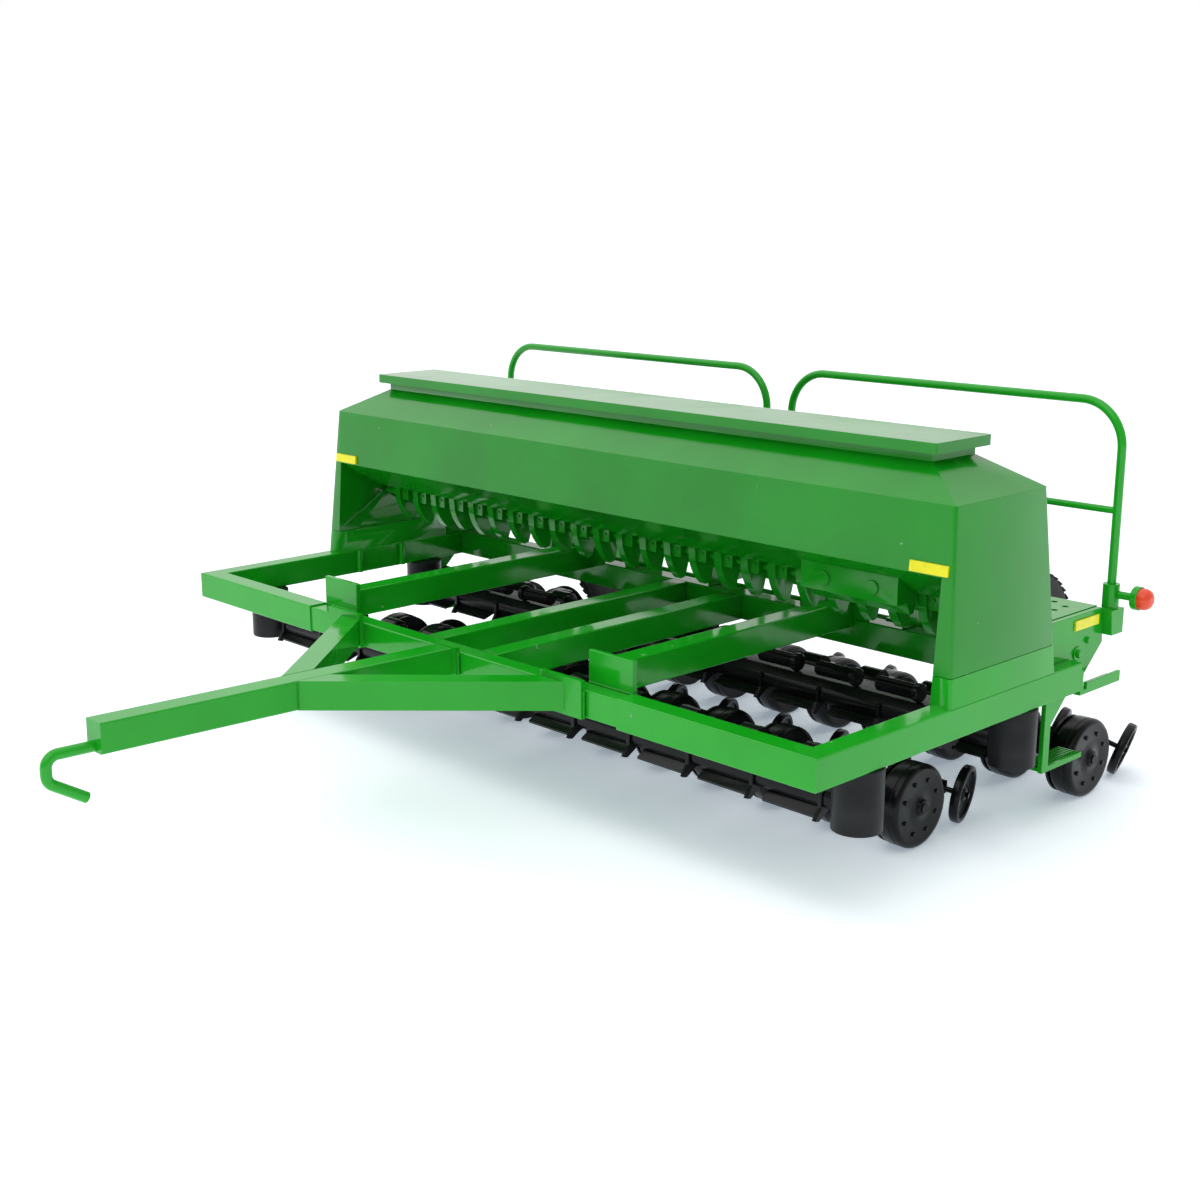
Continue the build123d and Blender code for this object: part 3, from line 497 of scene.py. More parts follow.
def show(name: str, bm: bmesh.types.BMesh, finish: Finish, body: str, hides: Sequence[str] = (),
         edge: float = 0.0, corner: float = SMOOTH_ANGLE) -> bpy.types.Object:
    """Turn a shape into a finished piece that rides on a body.

    Args:
        name: Name of the piece.
        bm: Its shape, which is freed.
        finish: Its finish.
        body: Body it moves with.
        hides: CAD nodes that it stands for.
        edge: Width of its rounded edges in millimetres, or 0 for none.
        corner: Sharpest angle that is shaded smooth, in degrees.

    Returns:
        The piece.
    """
    mesh = bpy.data.meshes.new(name)
    bm.to_mesh(mesh)
    bm.free()
    piece = bpy.data.objects.new(name, mesh)
    bpy.context.scene.collection.objects.link(piece)
    mesh.materials.append(finish.build())
    mesh.polygons.foreach_set("use_smooth", [True] * len(mesh.polygons))
    mesh.set_sharp_from_angle(angle=math.radians(corner))
    if edge:
        rounding = piece.modifiers.new("rounded edges", "BEVEL")
        rounding.width = edge * MM
        rounding.segments = 2
        rounding.limit_method = "ANGLE"
        rounding.angle_limit = BEVEL_ANGLE
        rounding.harden_normals = True
    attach(piece, body)
    if hides:
        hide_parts(*hides)
    LOG.info("%s: %d faces, on body %s", name, len(mesh.polygons), body)
    return piece


def merged_copy(node: str) -> bmesh.types.BMesh:
    """Shape of a CAD node with its loose triangles merged into whole faces.

    Args:
        node: Name of the CAD node.

    Returns:
        The merged shape.
    """
    bm = bmesh.new()
    bm.from_mesh(frame["nodes"][node].data)
    bmesh.ops.remove_doubles(bm, verts=bm.verts, dist=MERGE_GAP)
    bmesh.ops.dissolve_limit(bm, angle_limit=FLAT_ANGLE, verts=bm.verts, edges=bm.edges,
                             delimit={"NORMAL"})
    return bm


def soften(node: str, finish: Finish, edge: float, body: str = "frame") -> bpy.types.Object:
    """Stand a copy with rounded edges in for a sharp CAD node.

    Args:
        node: Name of the CAD node.
        finish: Finish of the copy.
        edge: Width of the rounding in millimetres.
        body: Body it moves with.

    Returns:
        The new piece.
    """
    return show(node + "_sheet", merged_copy(node), finish, body, hides=[node], edge=edge)


def dress(finish: Finish, *nodes: str) -> None:
    """Give CAD nodes that keep their shape a finish.

    Args:
        finish: Finish to give.
        nodes: Names of the CAD nodes.
    """
    for node in nodes:
        mesh = frame["nodes"][node].data
        mesh.materials.clear()
        mesh.materials.append(finish.build())
        mesh.polygons.foreach_set("use_smooth", [True] * len(mesh.polygons))
        mesh.set_sharp_from_angle(angle=math.radians(SMOOTH_ANGLE))
        LOG.info("%s: keeps its shape, %s", node, finish.name)


# ---------------------------------------------------------------- sub-assemblies
@dataclass
class TubeFrame:
    """Welded frame and tongue, with its weld places in millimetres."""

    bead_radius: float = 0.55
    bead_lift: float = 0.1
    seam_depth: float = 0.6
    flange_reach: float = 7.2
    flange_depth: float = 0.8
    flange_ends: tuple[float, float] = (1.2, 2.0)
    stem_foot: float = 1.4
    fork_drop: float = 1.3
    stem_half_width: float = 4.1
    fork_height: float = 8.8
    end_plate_half: float = 9.6
    beam_half_width: float = 3.8
    edge: float = 0.35
    sharp_parts: tuple[str, ...] = ("beam_end_plates", "lift_bearings", "deck_supports")
    round_parts: tuple[str, ...] = (
        "front_centre_beam", "left_front_beam", "right_front_beam", "left_side_beam",
        "right_side_beam", "rear_cross_beam", "outer_long_beams", "inner_long_beams",
        "tongue_stem", "tongue_arms", "hitch_hook")

    def build(self) -> None:
        """Build and dress the frame's pieces."""
        dress(GREEN, *self.round_parts)
        for part in self.sharp_parts:
            soften(part, GREEN, self.edge)
        bm = bmesh.new()
        for side in Side:
            self.tongue_welds(bm, side)
            self.beam_welds(bm, side)
        show("frame_welds", bm, WELD_GREEN, "frame", corner=80.0)

    def upright(self, bm: bmesh.types.BMesh, x: float, y: float, low: float, high: float,
                share: float = 1.0) -> None:
        """Lay a bead up a corner.

        Args:
            bm: Shape that the bead joins.
            x: Place of the corner along X, in metres.
            y: Place of the corner along Y, in metres.
            low: Height of the bead's foot, in metres.
            high: Height of its top, in metres.
            share: Share of the full bead radius.
        """
        bead(bm, Vector((x, y, low)), Vector((x, y, high)), self.bead_radius * MM * share)

    def across(self, bm: bmesh.types.BMesh, x: float, half: float, y: float, z: float,
               share: float) -> None:
        """Lay a bead along X.

        Args:
            bm: Shape that the bead joins.
            x: Middle of the bead, in metres.
            half: Half its length, in metres.
            y: Its place along Y, in metres.
            z: Its height, in metres.
            share: Share of the full bead radius.
        """
        bead(bm, Vector((x - half, y, z)), Vector((x + half, y, z)), self.bead_radius * MM * share)

    def tongue_welds(self, bm: bmesh.types.BMesh, side: Side) -> None:
        """Lay the beads of one half of the tongue.

        Args:
            bm: Shape that the beads join.
            side: Which half.
        """
        low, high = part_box("tongue_arms")
        stem_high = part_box("tongue_stem")[1]
        beam_low, beam_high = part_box("front_centre_beam")
        lift = self.bead_lift * MM
        foot, top = self.flange_ends
        seam_y = high.y - self.seam_depth * MM
        self.upright(bm, side.value * (high.x + lift), seam_y, beam_low.z, beam_high.z)
        self.upright(bm, side.value * (high.x - self.flange_reach * MM), seam_y - self.flange_depth * MM,
                     low.z + foot * MM, high.z - top * MM, 0.8)
        self.upright(bm, side.value * (stem_high.x + lift), seam_y, beam_low.z + self.stem_foot * MM,
                     beam_high.z)
        fork_z = stem_high.z - self.fork_drop * MM
        self.upright(bm, side.value * self.stem_half_width * MM, low.y + 2 * lift,
                     fork_z - self.fork_height * MM, fork_z, 0.8)

    def beam_welds(self, bm: bmesh.types.BMesh, side: Side) -> None:
        """Lay the beads of one half of the front beam.

        Args:
            bm: Shape that the beads join.
            side: Which half.
        """
        beam_low, beam_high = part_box("front_centre_beam")
        lift = self.bead_lift * MM
        joint_x = side.value * (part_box("right_front_beam")[0].x - 2 * lift)
        self.upright(bm, joint_x, beam_low.y + lift, beam_low.z + 6 * lift, beam_high.z - 4 * lift, 0.6)
        plates_low, plates_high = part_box("beam_end_plates")
        self.across(bm, side.value * (plates_high.x - self.end_plate_half * MM),
                    self.end_plate_half * MM - 4 * lift, plates_low.y + lift, beam_high.z + 2 * lift, 0.8)
        centre_x = side.value * (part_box("inner_long_beams")[1].x - self.beam_half_width * MM)
        self.across(bm, centre_x, self.beam_half_width * MM - 2 * lift, beam_high.y, beam_high.z, 0.7)
        for edge in (-1, 1):
            self.upright(bm, centre_x + edge * self.beam_half_width * MM, beam_high.y,
                         beam_low.z + 10 * lift, beam_high.z - 6 * lift, 0.7)


@dataclass
class GrainBox:
    """Grain box with its end panels, roof, lid and metering."""

    seam_height: float = 9.0
    seam_gap: float = 0.22
    corner_round: float = 1.1
    inner_gap: float = 0.1
    fold_angle: float = 0.5
    upright_rise: float = 2.0
    cup_count: int = 24
    cup_thickness: float = 3.2
    shaft_ends: float = 3.5
    row_margins: float = 20.3
    rivet_side: float = 3.6
    rivet_back: float = 9.1
    rivet_drop: float = 2.4

    def build(self) -> None:
        """Build and dress the grain box."""
        # The grain box sheets and cups take the darker green, which is painted shade, not a different paint.
        soften("hopper_shell", PAINTED_SHADE_GREEN, 0.35)
        soften("hopper_roof", PAINTED_SHADE_GREEN, 0.9)
        soften("hopper_lid", PAINTED_SHADE_GREEN, 0.5, body="lid")
        soften("drive_cover", PAINTED_SHADE_GREEN, 0.4)
        self.cups()
        for side in Side:
            self.end_panel(side)
        dress(GREEN, "feed_shaft")
        dress(STEEL, "lid_hinge_pins")
        dress(YELLOW, "reflectors")

    def cups(self) -> None:
        """Make the feed cups, each with a rivet near its top."""
        bm = merged_copy("feed_cups")
        low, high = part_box("feed_cups")
        shaft_low, shaft_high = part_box("feed_shaft")
        row = shaft_high.x - shaft_low.x - (self.shaft_ends + self.row_margins) * MM
        pitch = row / (self.cup_count - 1)
        first = low.x + self.cup_thickness / 2 * MM
        for number in range(self.cup_count):
            head = Vector((first + pitch * number + self.rivet_side * MM, high.y - self.rivet_back * MM,
                           high.z - self.rivet_drop * MM))
            stud(bm, head, Vector((0, -1, 0)), 0.6 * MM, 0.5 * MM, sides=10)
        show("feed_cups_sheet", bm, PAINTED_SHADE_GREEN, "frame", hides=["feed_cups"], edge=0.25)

    def end_panel(self, side: Side) -> None:
        """Make an end panel in two sheets that meet at a seam above its foot.

        Args:
            side: Which end.
        """
        node = "hopper_end_" + side.word
        low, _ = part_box(node)
        seam = low.z + self.seam_height * MM
        for keep_upper in (True, False):
            half = merged_copy(node)
            cut = seam + (self.seam_gap * MM / 2 if keep_upper else -self.seam_gap * MM / 2)
            bmesh.ops.bisect_plane(half, geom=half.verts[:] + half.edges[:] + half.faces[:],
                                   plane_co=(0, 0, cut), plane_no=(0, 0, 1),
                                   clear_inner=keep_upper, clear_outer=not keep_upper)
            rim = [edge for edge in half.edges if edge.is_boundary]
            bmesh.ops.holes_fill(half, edges=rim, sides=0)
            inner = side.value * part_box("hopper_shell")[1].x
            outer_edges = [edge for edge in half.edges
                           if all(abs(vert.co.x - inner) > self.inner_gap * MM for vert in edge.verts)
                           and not edge.is_boundary and edge.calc_face_angle(0.0) > self.fold_angle
                           and abs(edge.verts[0].co.z - edge.verts[1].co.z) > self.upright_rise * MM]
            bmesh.ops.bevel(half, geom=outer_edges, offset=self.corner_round * MM, offset_type="OFFSET",
                            affect="EDGES", segments=4, profile=0.5, material=-1)
            # Painted light and shade: the upper sheet takes the darker painted-shade green and the foot
            # keeps the plain, lighter green, so the foot looks lit from the floor.
            if keep_upper:
                show(node + "_sheet", half, PAINTED_SHADE_GREEN, "frame", hides=[node], corner=40.0)
            else:
                show(node + "_foot", half, GREEN, "frame", corner=40.0)


@dataclass
class Catwalk:
    """Perforated rear catwalk with its brackets, rails, lamps and steps."""

    hole_radius: float = 1.15
    hole_pitch_x: float = 6.0
    hole_pitch_y: float = 6.7
    hole_margin_x: float = 5.0
    hole_margin_y: float = 4.0
    deck_thickness: float = 1.4
    bolt_place: tuple[float, float] = (9.0, 8.2)
    bolt_size: tuple[float, float] = (1.25, 1.0)
    washer_place: tuple[float, float] = (15.0, 11.6)
    washer_size: tuple[float, float] = (2.4, 0.5)
    washer_bolt_radius: float = 1.5
    beam_width: float = 7.6
    rod_radius: float = 1.2
    rod_height: float = 9.2
    rod_places: tuple[float, ...] = (70.0, 92.0)
    ridge_pitch: float = 1.5
    ridge_width: float = 0.7
    ridge_count: int = 14
    tread_start: float = 36.0
    tread_outer: float = 2.6
    tread_inner: float = 8.6

    def build(self) -> None:
        """Build and dress the catwalk."""
        for side in Side:
            self.deck(side)
            dress(GREEN, side.word + "_handrail")
        for part in ("side_brackets", "rail_clamps", "lamp_housings", "steps"):
            soften(part, GREEN, 0.22)
        dress(RED, "lamp_lenses")
        self.bolts()
        self.step_teeth()

    def deck(self, side: Side) -> None:
        """Make one deck section with staggered round holes.

        Args:
            side: Which section.
        """
        node = side.word + "_catwalk_deck"
        low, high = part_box(node)
        plate = show(node + "_plate", merged_copy(node), GREEN, "frame", hides=[node])
        cutter = bmesh.new()
        rows = int((high.y - low.y - self.hole_margin_y * MM) / (self.hole_pitch_y * MM))
        columns = int((high.x - low.x - self.hole_margin_x * MM) / (self.hole_pitch_x * MM))
        top = high.z
        for column in range(columns):
            shift = 0.25 if column % 2 else -0.25
            for row in range(rows):
                x = (low.x + high.x) / 2 + (column - (columns - 1) / 2) * self.hole_pitch_x * MM
                y = (low.y + high.y) / 2 + (row - (rows - 1) / 2 + shift) * self.hole_pitch_y * MM
                bmesh.ops.create_cone(cutter, cap_ends=True, segments=14, radius1=self.hole_radius * MM,
                                      radius2=self.hole_radius * MM, depth=0.01,
                                      matrix=Matrix.Translation((x, y, top)))
        mesh = bpy.data.meshes.new("punch")
        cutter.to_mesh(mesh)
        cutter.free()
        punch = bpy.data.objects.new("punch", mesh)
        bpy.context.scene.collection.objects.link(punch)
        cut = plate.modifiers.new("holes", "BOOLEAN")
        cut.object = punch
        cut.operation = "DIFFERENCE"
        cut.solver = "EXACT"
        graph = bpy.context.evaluated_depsgraph_get()
        holed = bpy.data.meshes.new_from_object(plate.evaluated_get(graph))
        plate.modifiers.clear()
        plate.data = holed
        bpy.data.objects.remove(punch)
        bpy.data.meshes.remove(mesh)
        LOG.info("%s: %d faces after punching", plate.name, len(holed.polygons))

    def bolts(self) -> None:
        """Make the hexagon bolts of the side brackets and the rods inside the side beams."""
        bm = bmesh.new()
        bracket_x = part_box("side_brackets")[1].x
        deck_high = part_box("right_catwalk_deck")[1]
        deck_z = deck_high.z - self.deck_thickness * MM
        beam_low, beam_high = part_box("right_side_beam")
        rod_x = beam_high.x - (self.beam_width + self.rod_radius) * MM
        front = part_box("front_centre_beam")[0].y - 0.5 * MM
        for side in Side:
            out = Vector((side.value, 0.0, 0.0))
            face = side.value * bracket_x
            bolt, washer = (Vector((face, deck_high.y - back * MM, deck_z - drop * MM))
                            for back, drop in (self.bolt_place, self.washer_place))
            radius, height = self.bolt_size
            wide, thick = self.washer_size
            stud(bm, bolt, out, radius * MM, height * MM)
            stud(bm, washer, out, wide * MM, thick * MM, sides=24, tip=0.95)
            stud(bm, washer + out * thick * MM, out, self.washer_bolt_radius * MM, height * MM)
        for side in Side:
            for rod_y in self.rod_places:
                foot = Vector((side.value * rod_x, front + rod_y * MM, beam_low.z + 0.5 * MM))
                stud(bm, foot, Vector((0, 0, 1)), self.rod_radius * MM, self.rod_height * MM, sides=14,
                     tip=1.0)
        show("bracket_bolts_hex", bm, GREEN, "frame", hides=["bracket_bolts"], edge=0.12)

    def step_teeth(self) -> None:
        """Lay the small ridges across the lower treads."""
        low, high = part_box("steps")
        bm = bmesh.new()
        tread_top = low.z + 1.8 * MM
        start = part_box("rail_clamps")[0].y - self.tread_start * MM
        for side in Side:
            outer = side.value * (high.x - self.tread_outer * MM)
            inner = side.value * (high.x - self.tread_inner * MM)
            for number in range(self.ridge_count):
                y = start + number * self.ridge_pitch * MM
                slab(bm, Vector((min(outer, inner), y, tread_top - 0.6 * MM)),
                     Vector((max(outer, inner), y + self.ridge_width * MM, tread_top + 0.4 * MM)))
        show("step_ridges", bm, GREEN, "frame", edge=0.1)


@dataclass
class OpenerRank:
    """One half of a rank: gauge wheels, discs and closing wheels of one side."""

    rank: Rank
    side: Side
    count: int
    wheel_segments: int = 48
    closing_segments: int = 40
    bolt_count: int = 8
    bolt_circle: float = 8.6
    bolt_foot: float = -0.3
    bolt_size: tuple[float, float] = (0.85, 0.75)
    wheel_profile: tuple[tuple[float, float], ...] = (
        (1.1, 1.62), (1.1, 2.2), (0.85, 2.5), (0.1, 2.7), (-0.05, 3.2), (-0.2, 3.4), (-0.2, 6.6),
        (-0.1, 7.0), (-0.1, 10.8), (-0.02, 11.3), (0.0, 11.9), (-0.25, 12.7), (-0.9, 13.3), (-1.7, 13.5),
        (-2.2, 13.5), (-2.45, 13.2), (-2.75, 13.2), (-3.0, 13.46), (-6.4, 13.46), (-7.2, 13.3),
        (-7.8, 12.8), (-8.0, 12.0), (-8.0, 1.62))
    closing_profile: tuple[tuple[float, float], ...] = (
        (1.05, 0.96), (1.05, 1.7), (0.8, 2.0), (0.25, 2.3), (0.05, 2.7), (0.05, 6.7), (0.2, 7.1),
        (0.25, 7.5), (0.45, 7.8), (1.25, 8.0), (1.5, 8.4), (1.5, 9.1), (1.25, 9.45), (0.8, 9.6),
        (-0.8, 9.6), (-1.25, 9.45), (-1.5, 9.1), (-1.5, 8.3), (-0.6, 7.8), (-0.6, 2.4), (-1.5, 2.0),
        (-1.5, 0.96))

    @property
    def pitch(self) -> float:
        """Distance between two openers of a rank, in metres."""
        front, rear = (JOINTS[f"{rank.value}_gauge_spin_right"]["pos_m"][0] for rank in Rank)
        return 2.0 * (rear - front)

    def build(self) -> None:
        """Build the gauge wheels and closing wheels of this half."""
        prefix = f"{self.rank.value}_gauge"
        joint = JOINTS[f"{self.rank.value}_gauge_spin_{self.side.word}"]
        places = self.row(Vector(joint["pos_m"]), self.side.turn, range(self.count))
        show(f"{prefix}_wheels_{self.side.word}_moulded", repeat(self.gauge_wheel(), places), BLACK,
             f"{prefix}_{self.side.word}", hides=[f"{prefix}_wheels_{self.side.word}"], corner=40.0)
        dress(BLACK, f"{self.rank.value}_discs_{self.side.word}")
        closing = f"{self.rank.value}_closing_wheel_{self.side.word}"
        show(closing + "_moulded", repeat(self.closing_wheel(), self.closing_places([0])), BLACK,
             f"{self.rank.value}_closing_{self.side.word}", hides=[closing], corner=40.0)

    def row(self, outermost: Vector, turn: Matrix, numbers: Iterable[int]) -> list[Matrix]:
        """Placements of one piece at several openers.

        Args:
            outermost: Its place at the outermost opener.
            turn: How it is turned.
            numbers: Openers, counted inwards from the outermost.

        Returns:
            One placement for each opener.
        """
        return [Matrix.Translation(outermost - Vector((self.side.value * self.pitch * n, 0, 0))) @ turn
                for n in numbers]

    def closing_places(self, numbers: Iterable[int]) -> list[Matrix]:
        """Placements of closing wheels.

        Args:
            numbers: Openers, counted inwards from the outermost.

        Returns:
            One placement for each opener.
        """
        joint = JOINTS[f"{self.rank.value}_closing_spin_{self.side.word}"]
        lean = Vector((1, 0, 0)).rotation_difference(Vector(joint["axis"])).to_matrix().to_4x4()
        return self.row(Vector(joint["pos_m"]), lean, numbers)

    def gauge_wheel(self) -> bmesh.types.BMesh:
        """Gauge wheel with a stepped tread, a sunk face and a ring of moulded bolts.

        Returns:
            The wheel, with its axle along X.
        """
        bm = lathe(self.wheel_profile, self.wheel_segments)
        stud_ring(bm, self.bolt_count, self.bolt_circle, self.bolt_foot, self.bolt_size, sides=10,
                  start=0.5)
        return bm

    def closing_wheel(self) -> bmesh.types.BMesh:
        """Narrow dished closing wheel with a raised rim and a hub."""
        return lathe(self.closing_profile, self.closing_segments)


@dataclass
class Openers:
    """All the openers, with their gang bars, arms, springs and posts."""

    counts: dict[tuple[Rank, Side], int] = field(default_factory=lambda: {
        (Rank.FRONT, Side.LEFT): 5, (Rank.FRONT, Side.RIGHT): 6,
        (Rank.REAR, Side.LEFT): 6, (Rank.REAR, Side.RIGHT): 6})
    spring_ribs: int = 17
    rib_depth: float = 0.45
    roll_radius: float = 2.6
    roll_length: float = 15.0
    roll_back: float = 48.0
    roll_drop: float = 3.2
    collar_place: float = 13.6
    collar_lift: float = 0.6
    barrel_back: float = 31.5
    barrel_lift: float = 4.4
    barrel_profile: tuple[tuple[float, float], ...] = (
        (-12.3, 0.0), (-12.3, 4.4), (-20.2, 4.4), (-20.7, 3.9), (-20.7, 3.2), (-21.8, 3.2),
        (-22.1, 2.9), (-22.1, 0.0))

    def build(self) -> None:
        """Build both ranks."""
        halves = {key: OpenerRank(key[0], key[1], count) for key, count in self.counts.items()}
        for half in halves.values():
            half.build()
        for rank in Rank:
            places = []
            for side in Side:
                half = halves[(rank, side)]
                places += half.closing_places(range(1, half.count))
            node = f"{rank.value}_inner_closing_wheels"
            template = halves[(rank, Side.RIGHT)].closing_wheel()
            show(node + "_moulded", repeat(template, places), BLACK, "frame", hides=[node], corner=40.0)
            soften(f"{rank.value}_gang_bar", BLACK, 0.2)
            soften(f"{rank.value}_opener_arms", BLACK, 0.3)
        self.springs(halves)
        soften("mounting_posts", GREY, 0.3)
        dress(GREY, "gang_hangers")

    def springs(self, halves: dict[tuple[Rank, Side], OpenerRank]) -> None:
        """Make the ribbed spring rolls on top of the gang bars and the arm barrels behind them.

        Args:
            halves: The four half ranks, which give the places.
        """
        low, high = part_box("spring_rolls")
        places, barrels = [], []
        for (rank, side), half in halves.items():
            x, y, _ = JOINTS[f"{rank.value}_gauge_spin_{side.word}"]["pos_m"]
            roll = Vector((x, y - self.roll_back * MM, high.z - self.roll_drop * MM))
            barrel = Vector((x, y - self.barrel_back * MM, low.z + self.barrel_lift * MM))
            places += half.row(roll, side.turn, range(half.count))
            barrels += half.row(barrel, side.turn, range(half.count))
        collar = self.collar_place - halves[(Rank.REAR, Side.LEFT)].pitch / MM
        rolls = repeat(lathe(self.roll_profile(collar), 18, closed=False), places)
        stubs = repeat(lathe(self.barrel_profile, 24, closed=False), barrels)
        mesh = bpy.data.meshes.new("stubs")
        stubs.to_mesh(mesh)
        stubs.free()
        rolls.from_mesh(mesh)
        bpy.data.meshes.remove(mesh)
        show("spring_rolls_ribbed", rolls, BLACK, "frame", hides=["spring_rolls"], corner=35.0)

    def roll_profile(self, collar: float) -> list[tuple[float, float]]:
        """Half section of one ribbed roll with the collar at its end.

        Args:
            collar: Place of the collar along X, in millimetres.

        Returns:
            Places along X and radii, in millimetres.
        """
        radius, valley = self.roll_radius, self.roll_radius - self.rib_depth
        crown, end = radius + self.collar_lift, collar - self.roll_length
        pitch = self.roll_length / self.spring_ribs
        profile = [(end - 0.2, 0.0), (end - 0.2, radius - 0.3)]
        for rib in range(self.spring_ribs):
            x = end + pitch * rib
            profile += [(x, valley), (x + pitch * 0.3, radius), (x + pitch * 0.7, radius)]
        profile += [(collar, valley), (collar, crown - 0.1), (collar + 0.3, crown), (collar + 1.9, crown),
                    (collar + 2.2, crown - 0.3), (collar + 2.2, 0.0)]
        return profile


@dataclass
class TransportWheels:
    """Pair of transport wheels on the lifting rockshaft."""

    lugs: int = 40
    lug_width: float = 2.4
    lug_height: float = 0.7
    lug_depth: float = 0.95
    nut_count: int = 6
    nut_circle: float = 6.4
    nut_size: tuple[float, float] = (0.9, 0.9)

    def build(self) -> None:
        """Build the tyres and rims and dress the lift frame."""
        soften("lift_frame", GREEN, 0.3, body="transport_lift")
        for side in Side:
            self.tyre(side)
            self.rim(side)

    def tyre(self, side: Side) -> None:
        """Make one tyre with shoulder lugs and sidewall rings.

        Args:
            side: Which wheel.
        """
        node = side.word + "_transport_tyre"
        low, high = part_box(node)
        centre, radius = (low + high) / 2, (high.z - low.z) / 2 / MM
        half = (high.x - low.x) / 2 / MM
        bore = (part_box(side.word + "_transport_rim")[1].z - centre.z) / MM
        profile = [(-half, bore), (-half, radius - 8.5), (-half, radius - 5.0),
                   (-half + 0.35, radius - 2.6), (-half * 0.62, radius - 0.9), (-half * 0.34, radius - 0.55),
                   (-half * 0.28, radius - 1.3), (-half * 0.16, radius - 1.3), (-half * 0.1, radius - 0.5),
                   (half * 0.1, radius - 0.5), (half * 0.16, radius - 1.3), (half * 0.28, radius - 1.3),
                   (half * 0.34, radius - 0.55), (half * 0.62, radius - 0.9), (half - 0.35, radius - 2.6),
                   (half, radius - 5.0), (half, radius - 8.5), (half, bore)]
        bm = lathe(profile, 72)
        for number in range(self.lugs):
            for edge in (-1, 1):
                angle = math.tau * (number + (0.5 if edge > 0 else 0.0)) / self.lugs
                out = Vector((0.0, math.cos(angle), math.sin(angle)))
                along = Vector((edge * 0.9, -0.35 * out.z, 0.35 * out.y)).normalized()
                turn = Matrix((along, out.cross(along).normalized(), out)).transposed().to_4x4()
                spot = (out * (radius - self.lug_depth) + Vector((edge * half * 0.56, 0, 0))) * MM
                size = Matrix.Diagonal((half * 0.5 * MM, self.lug_width * MM, self.lug_height * MM, 1.0))
                bmesh.ops.create_cube(bm, size=1.0, matrix=Matrix.Translation(spot) @ turn @ size)
        bmesh.ops.transform(bm, matrix=Matrix.Translation(centre), verts=bm.verts)
        show(node + "_treaded", bm, TYRE, "transport_wheel_" + side.word, hides=[node], edge=0.15)

    def rim(self, side: Side) -> None:
        """Make one dished rim with its wheel nuts.

        Args:
            side: Which wheel.
        """
        node = side.word + "_transport_rim"
        low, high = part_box(node)
        centre, radius = (low + high) / 2, (high.z - low.z) / 2 / MM
        half = (high.x - low.x) / 2 / MM
        profile = [(half, 1.66), (half, 3.0), (half * 0.6, 3.6), (half * 0.1, 4.4), (half * 0.1, 8.6),
                   (half * 0.35, 9.6), (half * 0.3, radius - 3.2), (half * 0.75, radius - 2.0),
                   (half * 0.96, radius - 1.2), (half, radius), (-half, radius), (-half, radius - 1.4),
                   (-half * 0.5, radius - 2.6), (-half * 0.2, radius - 3.6), (-half * 0.2, 4.4),
                   (-half * 0.8, 4.0), (-half * 0.8, 1.66)]
        bm = lathe(profile, 56)
        stud_ring(bm, self.nut_count, self.nut_circle, half * 0.08, self.nut_size)
        bmesh.ops.transform(bm, matrix=Matrix.Translation(centre) @ side.turn, verts=bm.verts)
        show(node + "_dished", bm, RIM, "transport_wheel_" + side.word, hides=[node], corner=40.0)


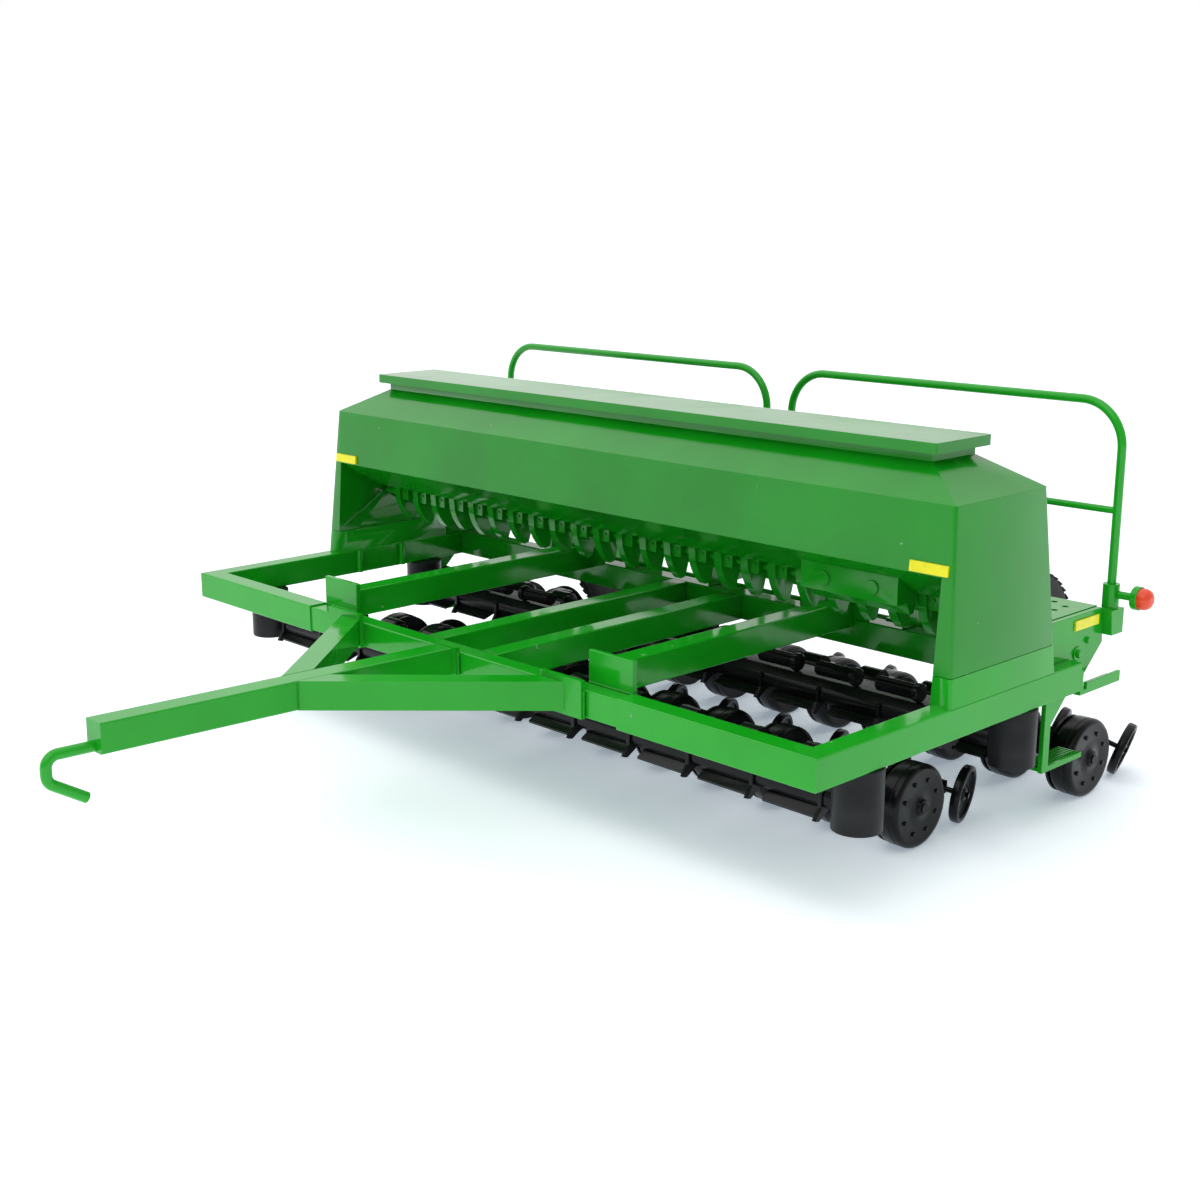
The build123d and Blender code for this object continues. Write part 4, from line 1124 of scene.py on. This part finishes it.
@dataclass
class Studio:
    """Pale floor, soft light and the camera."""

    spot: Colour = (0.40721, -0.357295, 0.19555)
    azimuth: float = 46.017
    elevation: float = 13.739
    lens: float = 49.11
    floor_size: float = 7.0
    key: float = 2.3
    key_spot: Colour = (0.25, -0.85, 1.05)
    key_size: float = 0.8
    key_target: Colour = (0.0, 0.0, 0.05)
    sun: float = 1.0
    sun_width: float = 100.0
    sun_path: Colour = (0.25, 0.35, -1.0)
    sky: float = 1.0
    shade: float = 0.42

    def build(self) -> None:
        """Build the floor, the lights, the world and the camera."""
        self.floor()
        self.softbox()
        self.sunlight()
        self.world()
        self.camera()

    def floor(self) -> None:
        """Lay a plain pale floor."""
        bm = bmesh.new()
        bmesh.ops.create_grid(bm, x_segments=2, y_segments=2, size=self.floor_size / 2)
        mesh = bpy.data.meshes.new("floor")
        bm.to_mesh(mesh)
        bm.free()
        plane = bpy.data.objects.new("floor", mesh)
        bpy.context.scene.collection.objects.link(plane)
        bench = ShaderBench("pale_floor")
        bench.fix(Base_Color=(0.93, 0.935, 0.94, 1.0), Roughness=0.9, Specular_IOR_Level=0.1,
                  Emission_Color=(0.74, 0.86, 1.0, 1.0), Emission_Strength=0.36)
        mesh.materials.append(bench.material)

    def softbox(self) -> None:
        """Hang a square softbox that faces the object."""
        data = bpy.data.lights.new("key_softbox", "AREA")
        data.shape = "SQUARE"
        data.size = self.key_size
        data.energy = self.key
        lamp = bpy.data.objects.new("key_softbox", data)
        lamp.location = self.key_spot
        gaze = Vector(self.key_target) - Vector(self.key_spot)
        lamp.rotation_euler = gaze.to_track_quat("-Z", "Y").to_euler()
        bpy.context.scene.collection.objects.link(lamp)

    def sunlight(self) -> None:
        """Light the floor evenly from a wide disc overhead."""
        data = bpy.data.lights.new("overhead_disc", "SUN")
        data.angle = math.radians(self.sun_width)
        data.energy = self.sun
        lamp = bpy.data.objects.new("overhead_disc", data)
        lamp.rotation_euler = Vector(self.sun_path).to_track_quat("-Z", "Y").to_euler()
        bpy.context.scene.collection.objects.link(lamp)

    def world(self) -> None:
        """Surround the scene with a sky that is white behind the object and greyer behind the camera."""
        world = bpy.data.worlds.new("studio")
        world.use_nodes = True
        tree = world.node_tree
        background = tree.nodes["Background"]
        background.inputs["Strength"].default_value = self.sky
        coords = tree.nodes.new("ShaderNodeTexCoord")
        toward = tree.nodes.new("ShaderNodeVectorMath")
        toward.operation = "DOT_PRODUCT"
        angle = math.radians(self.azimuth)
        toward.inputs[1].default_value = (-math.sin(angle), math.cos(angle), 0.25)
        sweep = tree.nodes.new("ShaderNodeMapRange")
        sweep.interpolation_type = "SMOOTHSTEP"
        limits = {"From Min": -0.35, "From Max": 0.45, "To Min": self.shade, "To Max": 1.0}
        for socket, value in limits.items():
            sweep.inputs[socket].default_value = value
        tree.links.new(coords.outputs["Generated"], toward.inputs[0])
        tree.links.new(toward.outputs["Value"], sweep.inputs["Value"])
        rays = tree.nodes.new("ShaderNodeLightPath")
        brighter = tree.nodes.new("ShaderNodeMath")
        brighter.operation = "MAXIMUM"
        tree.links.new(sweep.outputs["Result"], brighter.inputs[0])
        tree.links.new(rays.outputs["Is Camera Ray"], brighter.inputs[1])
        tree.links.new(brighter.outputs["Value"], background.inputs["Color"])
        bpy.context.scene.world = world
        bpy.context.scene.view_settings.view_transform = "Standard"

    def camera(self) -> None:
        """Set up the camera."""
        data = bpy.data.cameras.new("camera")
        data.lens = self.lens
        data.sensor_width = 36.0
        data.clip_start, data.clip_end = 0.01, 50.0
        camera = bpy.data.objects.new("camera", data)
        angle, tilt = math.radians(self.azimuth), math.radians(self.elevation)
        gaze = Vector((-math.sin(angle) * math.cos(tilt), math.cos(angle) * math.cos(tilt),
                       -math.sin(tilt)))
        camera.location = self.spot
        camera.rotation_mode = "QUATERNION"
        camera.rotation_quaternion = gaze.to_track_quat("-Z", "Y")
        bpy.context.scene.collection.objects.link(camera)
        bpy.context.scene.camera = camera


def main() -> None:
    """Build every sub-assembly and the studio."""
    logging.basicConfig(level=logging.INFO, format="%(name)s: %(message)s")
    for assembly in (TubeFrame(), GrainBox(), Catwalk(), Openers(), TransportWheels(), Studio()):
        LOG.info("building %s", type(assembly).__name__)
        assembly.build()


if __name__ == "__main__":
    main()
